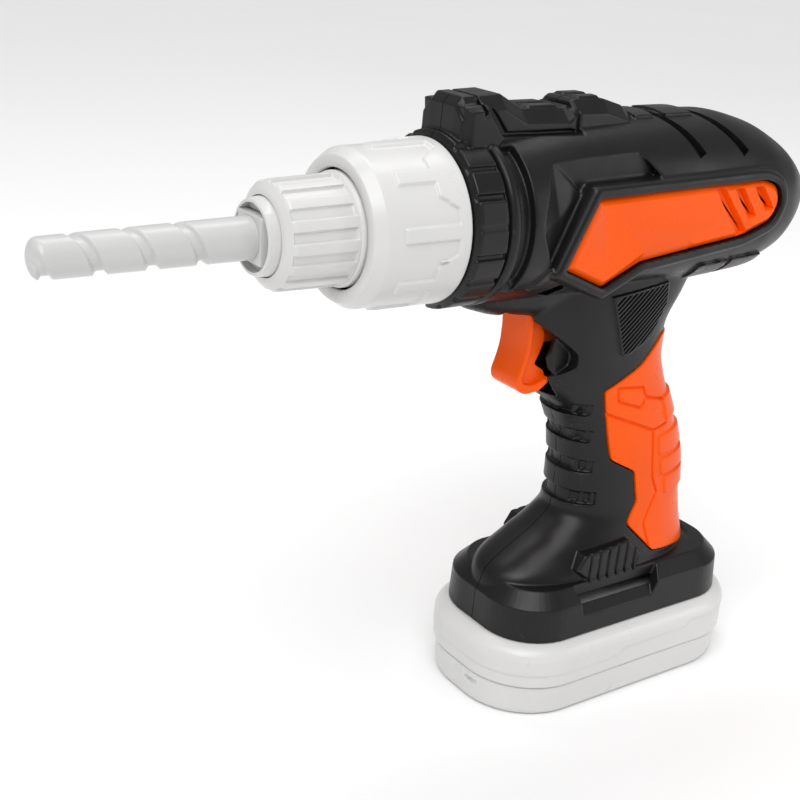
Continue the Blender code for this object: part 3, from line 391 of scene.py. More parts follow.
def barrel(name, wall=0.0, side_wall=0.0, count=112, step=1.5):
    rings = []
    last = BARREL[-1][0]
    for x, half, top, bottom, roundness in smooth_rows(BARREL, step):
        if wall and half < side_wall + 4.0:
            continue
        section = superellipse(half - side_wall, top - wall - SPINDLE_Z, SPINDLE_Z - bottom - wall,
                               roundness, count)
        shift = wall if x > last / 2 else 0.0
        rings.append([(x - shift, u, SPINDLE_Z + v) for u, v in section])
    return loft(name, rings)


HANDLE_ROWS = smooth_rows(HANDLE, 1.2)


def handle(name, front=0.0, back=0.0, side=0.0, low=None, high=None, count=112):
    rings = []
    for z, at_front, at_back, half in HANDLE_ROWS:
        if (high is not None and z > high) or (low is not None and z < low):
            continue
        at_front, at_back, half = at_front + front, at_back - back, half - side
        middle, reach = (at_front + at_back) / 2, (at_back - at_front) / 2
        rings.append([(middle + u, v, z) for u, v in superellipse(reach, half, half, 2.4, count)])
    return loft(name, rings)


def rounded_block(name, stations, inset=0.0):
    rings = []
    for z, length, width, corner in stations:
        outline = rounded_rectangle(length - inset, width - inset, max(2.0, corner - inset))
        rings.append([(u, v, z) for u, v in outline])
    return loft(name, rings)


# ---------- the black housing ----------


def front_ring(name):
    """Raised pads round the front with narrow gaps between them, then the round ridge behind."""
    stations = ((-72.9, 21.4, 0), (-72.6, 22.0, 0), (-72.3, 22.2, 0), (-72.0, 22.2, 1), (-71.7, 22.4, 1),
                (-63.6, 22.4, 1), (-63.3, 22.2, 1), (-63.1, 21.6, 0), (-62.4, 21.6, 0), (-62.2, 22.8, 0),
                (-61.6, 23.5, 0), (-60.2, 23.6, 0), (-59.4, 23.2, 0), (-59.1, 21.4, 0), (-57.0, 21.3, 0))
    rings = []
    for x, radius, padded in stations:
        ring = []
        for k in range(480):
            angle = 2 * math.pi * k / 480
            lift = math.degrees(math.asin(math.sin(angle)))
            away = min(abs(lift - edge) for edge in PAD_EDGES)
            deep = 0.35 if abs(lift - 7.0) < 4.0 else 1.0
            here = radius + padded * (1.0 - deep * (1.0 - step_between(1.7, 2.3, away)))
            ring.append((x, -here * math.cos(angle), SPINDLE_Z + here * math.sin(angle)))
        rings.append(ring)
    return loft(name, rings)


def cheek(side):
    """The raised block on the side of the rail's front, its front and top edges chamfered."""
    outline = ((-68.4, 168.6), (-69.4, 180.4), (-62.6, 180.8), (-56.6, 172.4), (-58.2, 170.8), (-62.6, 168.6))
    face = ((-67.4, 168.8), (-67.6, 179.0), (-62.9, 179.4), (-57.4, 172.2), (-58.4, 171.0), (-62.7, 168.8))
    rings = [[(x, side * y, z) for x, z in shape]
             for y, shape in ((4.0, outline), (8.7, outline), (10.6, face))]
    return loft("cheek", rings)


def chin():
    """The underside between the front ring and the trigger, which drops towards the trigger."""
    rings = []
    for x, bottom, half in ((-61.5, 127.4, 8.0), (-58.6, 124.6, 9.0), (-52.0, 122.4, 10.5),
                            (-47.0, 121.3, 12.0), (-40.0, 120.4, 13.4), (-30.0, 120.0, 13.8)):
        section = superellipse(half, 20.0, 140.0 - bottom, 2.6, 64)
        rings.append([(x, u, 140.0 + v) for u, v in section])
    return loft("chin", rings)


def facets(side):
    """What is carved off the barrel round the panel's rim: a flat band above and a hollow facet in front."""
    band = ((-46.4, 167.0), (-15.5, 167.6), (-8.0, 160.0), (-36.0, 158.0))
    top = prism("band", band, "Y", *sorted((side * 17.0, side * 40.0)))
    inner = [(-46.4, 17.0, 167.0), (-33.8, 17.4, 160.0), (-45.2, 18.4, 138.2), (-51.9, 23.5, 151.0)]
    middle = (-44.0, 19.6, 152.6)
    points = inner + [middle] + [(x, 40.0, z) for x, y, z in inner]
    faces = [(0, 1, 4), (1, 2, 4), (2, 3, 4), (3, 0, 4), (8, 7, 6, 5)]
    faces += [(i, (i + 1) % 4, 5 + (i + 1) % 4, 5 + i) for i in range(4)]
    front = solid("facet", [(x, side * y, z) for x, y, z in points], faces)
    return [top, front]


def top_rail(name):
    rings = []
    for x, top, half in RAIL:
        shoulder = max(166.0, top - 3.6)
        section = ((8.6, 165.0), (8.6, shoulder), (half, top), (-half, top), (-8.6, shoulder), (-8.6, 165.0))
        rings.append([(x, u, v) for u, v in section])
    return loft(name, rings)


def rail_plates():
    """Low plates on the rail's deck and on its rear block, one each side of the parting line."""
    plates = []
    for side in (-1, 1):
        for outline, low, high in (
            (((-46.6, 1.0), (-35.6, 1.0), (-36.4, 4.9), (-45.8, 4.9)), 177.8, 179.3),
            (((-29.6, 1.0), (-21.0, 1.0), (-21.8, 4.9), (-29.0, 4.9)), 179.8, 181.2),
        ):
            layers = ((low, outline), (high - 0.3, outline), (high, offset_outline(outline, -0.4)))
            rings = [[(x, side * y, z) for x, y in shape] for z, shape in layers]
            plates.append(loft("plate", rings))
    return plates


def panel_surround(name, side):
    """The fat rounded rim round a side panel."""
    rings = []
    for y, grow in ((13.0, 3.4), (20.6, 3.4), (21.6, 3.2), (22.3, 2.75), (22.7, 2.1),
                    (22.75, 1.4), (22.5, 0.6)):
        outline = round_outline(offset_outline(PANEL, grow), PANEL_ROUND)
        rings.append([(x, side * y, z) for x, z in outline])
    return loft(name, rings)


def bar(name, start, end, thickness, low_y, high_y):
    """A thin plate between two points of the side view, running across the object."""
    along = (Vector(end) - Vector(start)).normalized()
    across = Vector((along.y, -along.x)) * thickness / 2
    outline = [tuple(Vector(start) + across), tuple(Vector(end) + across),
               tuple(Vector(end) - across), tuple(Vector(start) - across)]
    low, high = sorted((low_y, high_y))
    return prism(name, outline, "Y", low, high)


def pad(name, outline, side, low, high, chamfer=0.6):
    rings = [[(x, side * low, z) for x, z in outline],
             [(x, side * (high - chamfer), z) for x, z in outline],
             [(x, side * high, z) for x, z in offset_outline(outline, -chamfer)]]
    return loft(name, rings)


BARREL_ROWS = smooth_rows(BARREL, 1.0)


def surface_groove(name, route, width, depth, wide_end=1.0, deep_end=1.0, floor=0.45, mouth=1.3):
    """A channel that follows the barrel's surface through (x, angle) points, angle from the near side up."""
    rings = []
    count = len(route)
    for i, (x, angle) in enumerate(route):
        ahead = route[min(i + 1, count - 1)]
        behind = route[max(i - 1, 0)]
        c, s = math.cos(math.radians(angle)), math.sin(math.radians(angle))
        row = min(BARREL_ROWS, key=lambda item: abs(item[0] - x))
        reach_z = (row[2] - SPINDLE_Z) if s > 0 else (SPINDLE_Z - row[3])
        y = -row[1] * math.copysign(abs(c) ** (2 / row[4]), c)
        z = reach_z * math.copysign(abs(s) ** (2 / row[4]), s)
        here = Vector((x, y, SPINDLE_Z + z))
        out = Vector((0.0, -c, s)).normalized()
        run = math.radians(ahead[1] - behind[1]) * 22.0
        sweep = ahead[0] - behind[0]
        along = (Vector((0.0, s, c)) * run + Vector((1.0, 0.0, 0.0)) * sweep).normalized()
        across = along.cross(out).normalized()
        grow = 1.0 + (wide_end - 1.0) * i / (count - 1)
        half = width / 2 * grow
        deep = depth * (1.0 + (deep_end - 1.0) * i / (count - 1))
        rings.append([tuple(here - out * deep + across * half * floor),
                      tuple(here + out * 1.2 + across * half * mouth),
                      tuple(here + out * 1.2 - across * half * mouth),
                      tuple(here - out * deep - across * half * floor)])
    return loft(name, rings)


def finger_groove(height, end):
    """One recess round the handle's front, with a deeper pocket at each end on the sides."""
    low, high = height - 2.1, height + 2.1
    band = keep(handle("band", -3.0, -3.0, -3.0), box("slab", (-60.0, -30.0, low), (end, 30.0, high)))
    cut(band, handle("core", 1.3, 1.3, 1.1))
    pocket = keep(handle("band", -3.0, -3.0, -3.0),
                  box("slab", (end - 5.4, -30.0, low + 0.5), (end - 0.9, 30.0, high - 0.5)))
    cut(pocket, handle("core", 1.9, 1.9, 2.1), box("peg", (end - 3.4, -30.0, low), (end - 2.6, 30.0, high)))
    return [band, pocket]


def cutters():
    """Everything taken out of the housing's outside."""
    made = []
    for x in (-63.6, -32.6):
        frame_cut = box("groove", (x - 0.5, -12.0, 178.0), (x + 0.5, 12.0, 190.0))
        top = 177.4 if x > -40.0 else 181.7
        cut(frame_cut, box("core", (x - 1.0, -8.0, 160.0), (x + 1.0, 8.0, 177.2)),
            box("core", (x - 1.0, -5.4, 160.0), (x + 1.0, 5.4, top)))
        made.append(frame_cut)
    for side in (-1, 1):
        low, high = side * 7.4, side * 12.0
        made += [bar("groove", (-63.6, 183.4), (-55.2, 172.7), 1.5, low, high),
                 bar("groove", (-55.8, 172.9), (-30.8, 172.6), 1.1, low, high),
                 bar("groove", (-31.2, 172.4), (-31.2, 179.6), 1.1, low, high)]
    # The curved slot behind the front ring, on both sides.
    for mirror in (1, -1):
        route = [(-56.8, 63.0 - 103.0 * i / 20) for i in range(21)]
        slot = surface_groove("groove", route, 4.4, 2.1, floor=0.9, mouth=1.05)
        hole = turned("hole", ((-26.0, 2.1), (-15.6, 2.1)), "Y", (-56.8, 134.6), 32)
        if mirror < 0:
            for item in (slot, hole):
                item.data.transform(Matrix.Scale(-1.0, 4, (0.0, 1.0, 0.0)))
                item.data.flip_normals()
        made += [slot, hole]
    for side in (-1, 1):
        # Ribs of the latch pad.
        for i in range(6):
            x = -16.0 + 3.6 * i
            made.append(bar("groove", (x, 37.8), (x + 0.4, 49.0), 0.9, side * 17.6, side * 24.0))
        # The dip in the foot's chamfer under the latch pad.
        dip = prism("dip", ((-25.0, 47.0), (-20.6, 29.6), (6.6, 29.6), (16.5, 47.0)), "Y",
                    *sorted((side * 10.0, side * 40.0)))
        section = ((23.2, 29.8), (19.0, 34.2), (19.0, 47.0), (32.0, 47.0), (32.0, 29.8))
        keep(dip, prism("section", [(side * y, z) for y, z in section], "X", -40.0, 40.0))
        made.append(dip)
    for height, end in ((91.2, -16.4), (81.8, -14.0), (71.8, -12.0), (61.3, -10.2)):
        made += finger_groove(height, end)
    return made


def thumb_pad(side):
    return keep(handle("thumb", -0.9, -0.9, -0.9),
                prism("outline", THUMB, "Y", *sorted((side * 5.0, side * 30.0))))


def swept_grooves():
    """The grooves over the back of the barrel: shallow on top, deep and wide at the lower ends."""
    made = []
    for x, sweep in ((-1.0, 8.4), (14.0, 11.0)):
        for mirror in (1, -1):
            route = [(x + sweep * (i / 20) ** 1.35, 93.0 - 58.0 * i / 20) for i in range(21)]
            groove = surface_groove("groove", route, 2.5, 0.9, 1.35, 2.2, 0.8, 1.1)
            if mirror < 0:
                groove.data.transform(Matrix.Scale(-1.0, 4, (0.0, 1.0, 0.0)))
                groove.data.flip_normals()
            made.append(groove)
    return made


def thumb_ribs():
    """The fine diagonal grooves between the thumb rest's ribs."""
    made = []
    for side in (-1, 1):
        for i in range(15):
            x = -38.0 + 1.9 * i
            groove = bar("groove", (x, 104.0), (x + 31.0, 131.0), 0.66, side * 8.0, side * 24.0)
            keep(groove, prism("inside", offset_outline(THUMB, -0.6), "Y",
                               *sorted((side * 7.0, side * 25.0))))
            cut(groove, handle("core", -0.15, -0.15, -0.15))
            made.append(groove)
    return made


def surface_pads(side):
    """Low blocks under the barrel's tail, and the small pad behind the curved slot."""
    made = []
    for outline in (((12.4, 124.0), (25.0, 124.0), (24.6, 134.0), (12.8, 133.4)),
                    ((26.6, 124.0), (38.6, 126.0), (39.4, 134.6), (26.2, 134.2)),
                    ((-50.4, 133.2), (-47.0, 139.2), (-44.2, 138.4), (-47.6, 132.0))):
        made.append(keep(barrel("block", -0.8, -0.8),
                         prism("outline", outline, "Y", *sorted((side * 6.0, side * 30.0)))))
    return made


def dome_plates():
    """Two low plates on top of the barrel's back, between the swept grooves."""
    made = []
    for low, high in ((-9.0, -2.6), (1.8, 12.4)):
        plate = keep(barrel("plate", -0.9, -0.9), box("slab", (low, -7.0, 170.0), (high, 7.0, 180.0)))
        made.append(plate)
    return made


def sealed_well(name):
    well = ((-60.0, 119.0), (-46.0, 120.8), (-42.0, 122.0), (-35.4, 118.4), (-28.4, 113.0), (-24.4, 109.4),
            (-24.6, 105.8), (-29.0, 103.4), (-35.4, 100.6), (-60.0, 98.0))
    radii = [0.5, 4.0, 3.0, 5.0, 4.0, 3.0, 3.0, 3.0, 2.0, 0.5]
    return prism(name, round_outline(well, radii), "Y", -20.0, 20.0)


def housing(black):
    base = fused(heap("base", [barrel("barrel"), handle("grip"), chin()]), BODY_SKIN, 7)
    for side in (-1, 1):
        cut(base, *facets(side))
    shell = fused(heap("shell", [base] + [panel_surround("surround", side) for side in (-1, 1)]), RIM_SKIN, 1)
    crisp = [rounded_block("foot", FOOT), front_ring("front"), top_rail("rail")]
    crisp += rail_plates() + dome_plates()
    for side in (-1, 1):
        crisp += [pad("latch", LATCH, side, 12.0, 18.4), thumb_pad(side), cheek(side)] + surface_pads(side)
    first = crisp.pop(0)
    join(first, *crisp)
    join(shell, first)
    taken = cutters()
    first = taken.pop(0)
    join(first, *taken)
    cut(shell, first)
    inside = fused(heap("inside", [
        barrel("cavity", 2.3, 4.8, 48, 4.0), handle("cavity", 3.6, 5.4, 5.0, count=48),
        turned("cavity", ((-70.5, 18.2), (-56.0, 18.2)), "X", (0.0, SPINDLE_Z), 64),
        rounded_block("cavity", ((26.0, 42.0, 20.6, 15.0), (33.6, 41.8, 20.4, 15.0),
                                 (36.2, 39.0, 17.2, 12.0))),
    ]), 0.8, 1)
    cut(shell, inside)
    cut(shell, box("spigot hole", (-24.3, -12.3, 20.0), (24.3, 12.3, 30.0)))
    cut(shell, turned("bush hole", ((-80.0, 5.3), (-60.0, 5.3)), "X", (0.0, SPINDLE_Z), 48))
    neck = turned("neck", ((-96.8, 16.8), (-71.4, 16.8), (-71.4, 14.6), (-96.8, 14.6)), "X",
                  (0.0, SPINDLE_Z), 96, closed=True)
    join(shell, neck)
    cut(shell, sealed_well("well"),
        box("slot", (-48.6, -TRIGGER_SLOT_HALF, 95.8), (-19.0, TRIGGER_SLOT_HALF, 131.0)))
    # Thin walls beside the trigger's slot close the well off from the inside.
    for side in (-1, 1):
        plate = prism("well wall", WELL_WALL, "Y", *sorted((side * TRIGGER_SLOT_HALF, side * WELL_WALL_FACE)))
        join(shell, keep(plate, handle("inside", 0.8, 0.8, 0.8)))
    cut(shell, box("slot", (-46.0, -TRIGGER_SLOT_HALF, 125.0), (-25.0, TRIGGER_SLOT_HALF, 135.0)))
    window = ((-44.0, 130.4), (-38.4, 133.6), (-35.6, 132.0), (-39.2, 129.2))
    cut(shell, prism("window", window, "Y", -40.0, 40.0))
    for side in (-1, 1):
        low, high = sorted((side * 19.4, side * 30.0))
        recess = round_outline(offset_outline(PANEL, 0.3), PANEL_ROUND)
        cut(shell, prism("recess", recess, "Y", low, high))
    strap_hole = handle("strap hole", -3.0, -3.0, -3.0, high=120.0)
    cut(strap_hole, handle("core", 2.7, 2.7, 2.7, high=130.0))
    keep(strap_hole, prism("outline", round_outline(offset_outline(STRAP, 0.3), 1.2), "Y", -30.0, 30.0))
    cut(shell, strap_hole)
    fused(shell, SHELL_SKIN, 1)
    fine_cuts = swept_grooves() + thumb_ribs()
    first = fine_cuts.pop(0)
    join(first, *fine_cuts)
    cut(shell, first)
    for x, z, seat in SCREWS:
        cut(shell, turned("hole", ((0.0, 1.5), (seat - 0.3, 1.5), (seat - 0.3, 2.9), (32.0, 2.9)), "Y",
                          (x, z), 40))
    for name, low, high in (("left_shell", -PARTING_GAP / 2, 60.0), ("right_shell", -60.0, PARTING_GAP / 2)):
        half = copy_of(shell, name)
        cut(half, box("other half", (-150.0, low, -10.0), (100.0, high, 220.0)))
        side = "left" if name.startswith("left") else "right"
        finish(half, black, "housing", (f"{side}_housing",), sharp=50.0)
    bpy.data.objects.remove(shell)


# ---------- the orange pieces ----------


def side_panels(orange):
    """Each panel has a broad bevel up to a plateau, whose lower edge jogs inwards towards the front."""
    base = list(PANEL[:6]) + [(4.4, 140.39), (2.4, 140.2)] + list(PANEL[6:])
    radii = PANEL_ROUND[:6] + [0.3, 0.3] + PANEL_ROUND[6:]
    plateau = offset_outline(base, -1.7)
    plateau[7] = (plateau[7][0], plateau[7][1] + 1.5)
    plateau[8] = (plateau[8][0] + 1.0, plateau[8][1] + 1.5)
    slots = (((10.0, 157.4), (13.8, 157.6), (25.4, 143.6), (22.0, 142.0)),
             ((18.0, 156.6), (21.8, 156.8), (28.6, 148.0), (25.2, 147.4)),
             ((26.0, 156.6), (29.8, 156.8), (35.6, 149.6), (32.2, 149.0)))
    for name, side in (("left_panel", -1), ("right_panel", 1)):
        rings = []
        for y, outline in ((19.8, base), (20.9, base), (21.1, offset_outline(base, -0.15)), (22.3, plateau)):
            rings.append([(x, side * y, z) for x, z in round_outline(outline, radii)])
        panel = loft(name, rings)
        for slot in slots:
            shape = round_outline(slot, 0.5, 3)
            rings = []
            for depth, grow in ((1.9, -0.7), (0.0, 0.0), (-2.0, 0.4)):
                rings.append([(x, side * (22.3 - depth), z) for x, z in offset_outline(shape, grow)])
            cut(panel, loft("louvre", rings))
        bevelled(panel, 0.16, 2, 25.0)
        finish(panel, orange, "housing", (name.replace("panel", "side_panel"),))


def lines(routes, width):
    """Thin plates across the handle along routes in the side view, for engraving its skin."""
    pieces = []
    for route in routes:
        for start, end in zip(route, route[1:]):
            pieces.append(bar("line", start, end, width, -30.0, 30.0))
        for point in route:
            pieces.append(turned("dot", ((-30.0, width / 2), (30.0, width / 2)), "Y", point, 16))
    return join(pieces[0], *pieces[1:])


def backstrap(orange):
    strap = handle("strap", -0.5, -0.5, -0.5, high=120.0)
    for rib in (((9.8, 79.4), (45.0, 82.6), (45.0, 76.2), (10.9, 73.2)),
                ((11.8, 71.4), (45.0, 74.0), (45.0, 67.4), (12.7, 66.4)),
                ((14.7, 65.0), (45.0, 67.0), (45.0, 60.4), (15.8, 59.2)),
                ((10.7, 91.4), (45.0, 96.0), (45.0, 89.0), (13.2, 83.8))):
        join(strap, keep(handle("rib", -1.4, -1.4, -1.1, high=120.0),
                         prism("outline", round_outline(rib, 0.6), "Y", -30.0, 30.0)))
    cut(strap, handle("core", 2.4, 2.4, 2.4, high=130.0))
    keep(strap, prism("outline", round_outline(STRAP, 1.2), "Y", -30.0, 30.0))
    engraved = keep(handle("skin", -4.0, -4.0, -4.0, high=120.0), lines((
        ((-16.0, 91.6), (7.1, 81.9), (9.4, 65.7), (12.1, 60.4), (7.2, 51.0), (9.4, 43.0)),
        ((-9.6, 98.0), (0.5, 96.8), (2.2, 93.5), (0.5, 90.2), (-8.9, 93.6), (-9.6, 98.0)),
        ((2.2, 93.5), (10.7, 91.0)),
        ((7.1, 81.9), (13.4, 82.8)),
    ), 0.8))
    cut(engraved, handle("core", 0.3, 0.3, 0.3, high=130.0))
    cut(strap, engraved)
    fused(strap, 0.26, 2)
    finish(strap, orange, "housing", ("grip_backstrap",), sharp=50.0)


def trigger(orange):
    outline = (
        (-39.2, 124.0), (-43.4, 127.4), (-43.4, 132.0), (-40.2, 133.4), (-30.4, 133.4), (-30.0, 128.2),
        (-31.6, 122.0), (-33.6, 118.4), (-31.0, 114.2), (-32.0, 110.4), (-34.2, 106.0), (-30.6, 103.6),
        (-29.4, 100.6), (-33.0, 98.0), (-38.6, 97.8), (-41.2, 100.0), (-41.6, 102.4), (-40.2, 106.2),
        (-39.0, 111.0), (-38.9, 117.0),
    )
    radii = [3.0, 1.5, 1.2, 0.8, 0.8, 2.0, 3.0, 1.5, 2.0, 2.5,
             0.8, 0.6, 0.8, 1.4, 1.6, 1.4, 1.2, 2.5, 2.5, 3.0]
    body = prism("trigger_shape", round_outline(outline, radii), "Y", -6.1, 6.1)
    inside = ((-36.4, 132.6), (-20.0, 132.6), (-20.0, 99.6), (-37.8, 99.6), (-39.4, 101.6), (-38.2, 106.4),
              (-37.0, 111.0), (-36.9, 118.0), (-38.6, 128.0))
    cut(body, prism("inside", round_outline(inside, 1.0), "Y", -2.6, 2.6))
    pocket = ((-40.6, 126.6), (-37.6, 122.0), (-37.0, 117.0), (-37.1, 111.2), (-38.3, 106.6), (-39.6, 102.8),
              (-38.8, 101.0), (-36.0, 100.2), (-33.2, 100.8), (-25.0, 104.0), (-25.0, 127.0))
    for side in (-1, 1):
        low, high = sorted((side * 4.4, side * 9.0))
        cut(body, prism("pocket", round_outline(pocket, 1.0), "Y", low, high))
    join(body, box("push arm", (-37.6, -1.8, 111.0), (-17.2, 1.8, 116.0)))
    cut(body, turned("pin hole", ((-20.0, 1.5), (20.0, 1.5)), "Y", TRIGGER_PIVOT, 32))
    fused(body, 0.22, 4)
    finish(body, orange, "trigger", ("trigger",), sharp=60.0)


# ---------- the chuck, the collar and the bit ----------


def reading(profile, x):
    for (x0, r0), (x1, r1) in zip(profile, profile[1:]):
        if x <= x1:
            return r0 + (r1 - r0) * (x - x0) / (x1 - x0)
    return profile[-1][1]


def skinned_ring(name, places, outer, inner, count):
    """A ring whose outside is a radius given by place and angle, and whose inside is a plain profile."""
    rings = []
    for x in places:
        ring = []
        for k in range(count):
            turn = 360.0 * k / count
            here = outer(x, turn)
            angle = math.radians(turn)
            ring.append((x, -here * math.cos(angle), SPINDLE_Z + here * math.sin(angle)))
        rings.append(ring)
    for x, radius in inner:
        rings.append([(x, -radius * math.cos(2 * math.pi * k / count),
                       SPINDLE_Z + radius * math.sin(2 * math.pi * k / count)) for k in range(count)])
    return loft(name, rings, closed=True)


def places_between(low, high, step, extra=()):
    count = round((high - low) / step)
    return sorted({round(low + (high - low) * i / count, 3) for i in range(count + 1)} | set(extra))


def torque_collar(grey):
    profile = ((-100.5, 18.2), (-100.3, 18.6), (-98.0, 20.1), (-97.6, 20.35), (-97.0, 20.45), (-92.9, 20.5),
               (-82.0, 20.7), (-76.0, 20.85), (-74.0, 20.9), (-73.6, 20.8), (-73.2, 20.3))

    def outer(x, turn):
        sector = round((turn - 6.5) / 40.0) % 9
        away = abs((turn - 6.5 + 20.0) % 40.0 - 20.0) * math.pi / 180.0 * 20.8
        rib = (1.0 - step_between(1.65, 2.1, away)) * step_between(-92.9, -92.3, x)
        # The crown's front edge slopes from one sector's place to the next one's.
        beyond = ((turn - 6.5 + 20.0) % 40.0 - 20.0) > 0
        neighbour = (sector + (1 if beyond else -1)) % 9
        here, there = (-82.0 if k % 2 or k == 8 else -76.9 for k in (sector, neighbour))
        start = here + (there - here) * 0.5 * step_between(5.4, 7.26, away)
        crown = step_between(start - 0.25, start + 0.3, x)
        fade = 1.0 - 0.5 * step_between(-73.6, -73.2, x)
        return reading(profile, x) + 0.75 * max(rib, crown) * fade

    places = places_between(-100.5, -73.2, 0.28, [x for x, _ in profile])
    inner = ((-73.2, 17.2), (-98.2, 17.2), (-98.2, 15.5), (-98.6, 15.3), (-100.1, 15.3), (-100.5, 15.7))
    ring = skinned_ring("collar", places, outer, inner, 480)
    finish(ring, grey, "collar", ("torque_collar",), sharp=60.0)


def chuck(grey):
    profile = ((-120.9, 10.4), (-120.5, 11.4), (-119.5, 13.0), (-119.0, 13.5), (-118.6, 13.7),
               (-101.2, 14.15), (-100.9, 14.5), (-100.5, 14.65), (-99.0, 14.7), (-98.7, 14.5))

    def outer(x, turn):
        away = abs((turn - 10.0 + 12.0) % 24.0 - 12.0) * math.pi / 180.0 * 13.9
        dent = (1.0 - step_between(1.3, 1.6, away))
        dent *= step_between(-119.3, -118.9, x) * (1.0 - step_between(-102.1, -101.7, x))
        return reading(profile, x) - 0.8 * dent

    places = places_between(-120.9, -98.7, 0.3, [x for x, _ in profile])
    sleeve = skinned_ring("sleeve", places, outer, ((-98.7, 10.1), (-120.9, 10.1)), 480)
    finish(sleeve, grey, "chuck", ("chuck_sleeve",), sharp=60.0)

    nose = turned("nose", ((-123.8, 9.1), (-123.6, 9.35), (-120.9, 9.8), (-98.3, 9.8)), "X",
                  (0.0, SPINDLE_Z), 128)
    cut(nose, turned("mouth", ((-128.8, 8.5), (-121.6, 8.5)), "X", (0.0, SPINDLE_Z), 128),
        box("socket", (-128.8, -6.2, SPINDLE_Z - 6.2), (-107.0, 6.2, SPINDLE_Z + 6.2)),
        turned("hole", ((-112.0, 2.8), (-90.0, 2.8)), "X", (0.0, SPINDLE_Z), 64))
    bevelled(nose, 0.16, 2)
    finish(nose, grey, "chuck", ("chuck_nose",))


def drill_bit(grey):
    count, steps = ((120, 320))
    tip, root = -178.5, -124.6
    rings = []
    for i in range(steps + 1):
        x = tip + (root - tip) * (i / steps) ** 1.12
        share = (x - tip) / (root - tip)
        radius = 4.9 + 0.5 * share
        from_tip = x - tip
        if from_tip < 2.6:
            radius *= math.sqrt(max(0.02, 1.0 - ((2.6 - from_tip) / 2.75) ** 2.4))
        ring = []
        for k in range(count):
            turn = 2 * math.pi * k / count
            turns = (x - tip - 10.2) / 12.7 - turn / (2 * math.pi)
            away = abs(turns - round(turns)) * 12.7
            dip = 1.0 - step_between(0.8, 1.9, away)
            dip *= 1.0 - step_between(-137.4, -135.6, x)
            here = radius - 1.05 * dip
            ring.append((x, -here * math.sin(turn), SPINDLE_Z + here * math.cos(turn)))
        rings.append(ring)
    bit = loft("bit", rings)
    root_block = box("square", (-124.4, -5.9, SPINDLE_Z - 5.9), (-107.5, 5.9, SPINDLE_Z + 5.9))
    bevelled(root_block, 0.25, 2)
    join(bit, root_block, turned("root", ((-125.6, 5.3), (-122.0, 5.3)), "X", (0.0, SPINDLE_Z), 64))
    finish(bit, grey, "bit", ("drill_bit",), sharp=45.0)


# ---------- the base ----------


def ridge_height(x):
    """The height of the soft step round the upper tier, which climbs in two short slopes to the back."""
    return 14.6 + 2.2 * step_between(-9.0, -5.5, x) + 2.0 * step_between(19.5, 23.0, x)


def battery_base(grey):
    stations = ((10.4, 49.3, 26.8, 21.6), (10.6, 49.7, 27.2, 22.0), (11.2, 49.8, 27.3, 22.0),
                (19.0, 49.7, 27.2, 22.0), (20.6, 49.4, 26.9, 21.8), (22.0, 48.6, 26.1, 21.2),
                (23.0, 47.2, 24.9, 20.2), (23.6, 45.8, 23.6, 19.0))
    rings = []
    for z, length, width, corner in smooth_rows(stations, 0.3):
        ring = []
        for u, v in rounded_rectangle(length, width, corner, 20, 90):
            inset = 0.45 * (1.0 - step_between(ridge_height(u) - 0.4, ridge_height(u) + 0.4, z))
            edge = math.hypot(u, v)
            ring.append((u * (1 - inset / edge), v * (1 - inset / edge), z))
        rings.append(ring)
    case = loft("case", rings)
    cut(case, rounded_block("inside", ((5.0, 47.0, 24.5, 20.0), (18.0, 47.0, 24.5, 20.0),
                                       (21.4, 44.8, 22.6, 18.0))))
    join(case, box("spigot", (-24.0, -12.0, 22.6), (24.0, 12.0, 27.0)),
         box("flange", (-28.0, -16.0, 26.4), (28.0, 16.0, 28.0)))
    cut(case, box("wire hole", (-9.0, -6.0, 15.0), (9.0, 6.0, 32.0)))
    for side in (-1, 1):
        low, high = sorted((side * 31.0, side * 32.4))
        join(case, box("divider", (low, -24.6, 11.0), (high, 24.6, 22.0)))
    join(case, turned("post", ((11.0, 3.2), (22.0, 3.2)), "Z", (COVER_SCREW_X, 0.0), 48))
    cut(case, turned("hole", ((5.0, 1.5), (18.6, 1.5)), "Z", (COVER_SCREW_X, 0.0), 32))
    fused(case, 0.3, 1)
    finish(case, grey, "housing", ("battery_case",), sharp=0.0)

    stations = ((0.0, 47.0, 24.0, 20.4), (0.35, 47.8, 24.8, 21.2), (1.3, 48.5, 25.6, 21.8),
                (2.4, 48.75, 25.9, 22.0), (9.6, 49.0, 26.4, 22.0), (9.9, 48.9, 26.3, 22.0),
                (10.1, 48.6, 26.0, 21.7))
    cover = loft("cover", [[(u, v, z) for u, v in rounded_rectangle(length, width, corner, 20, 12)]
                           for z, length, width, corner in smooth_rows(stations, 0.4)])
    cut(cover, rounded_block("inside", ((1.8, 46.0, 23.2, 19.6), (14.0, 46.8, 24.2, 20.0))))
    join(cover, turned("post", ((0.8, 4.4), (10.1, 4.4)), "Z", (COVER_SCREW_X, 0.0), 64))
    cut(cover, turned("hole", ((-2.0, 2.9), (3.4, 2.9), (3.4, 1.5), (14.0, 1.5)), "Z",
                      (COVER_SCREW_X, 0.0), 48))
    cut(cover, box("pry notch", (-60.0, -9.0, 6.2), (-47.8, -4.0, 7.8)))
    fused(cover, 0.3, 1)
    finish(cover, grey, "cover", ("battery_cover",), sharp=0.0)


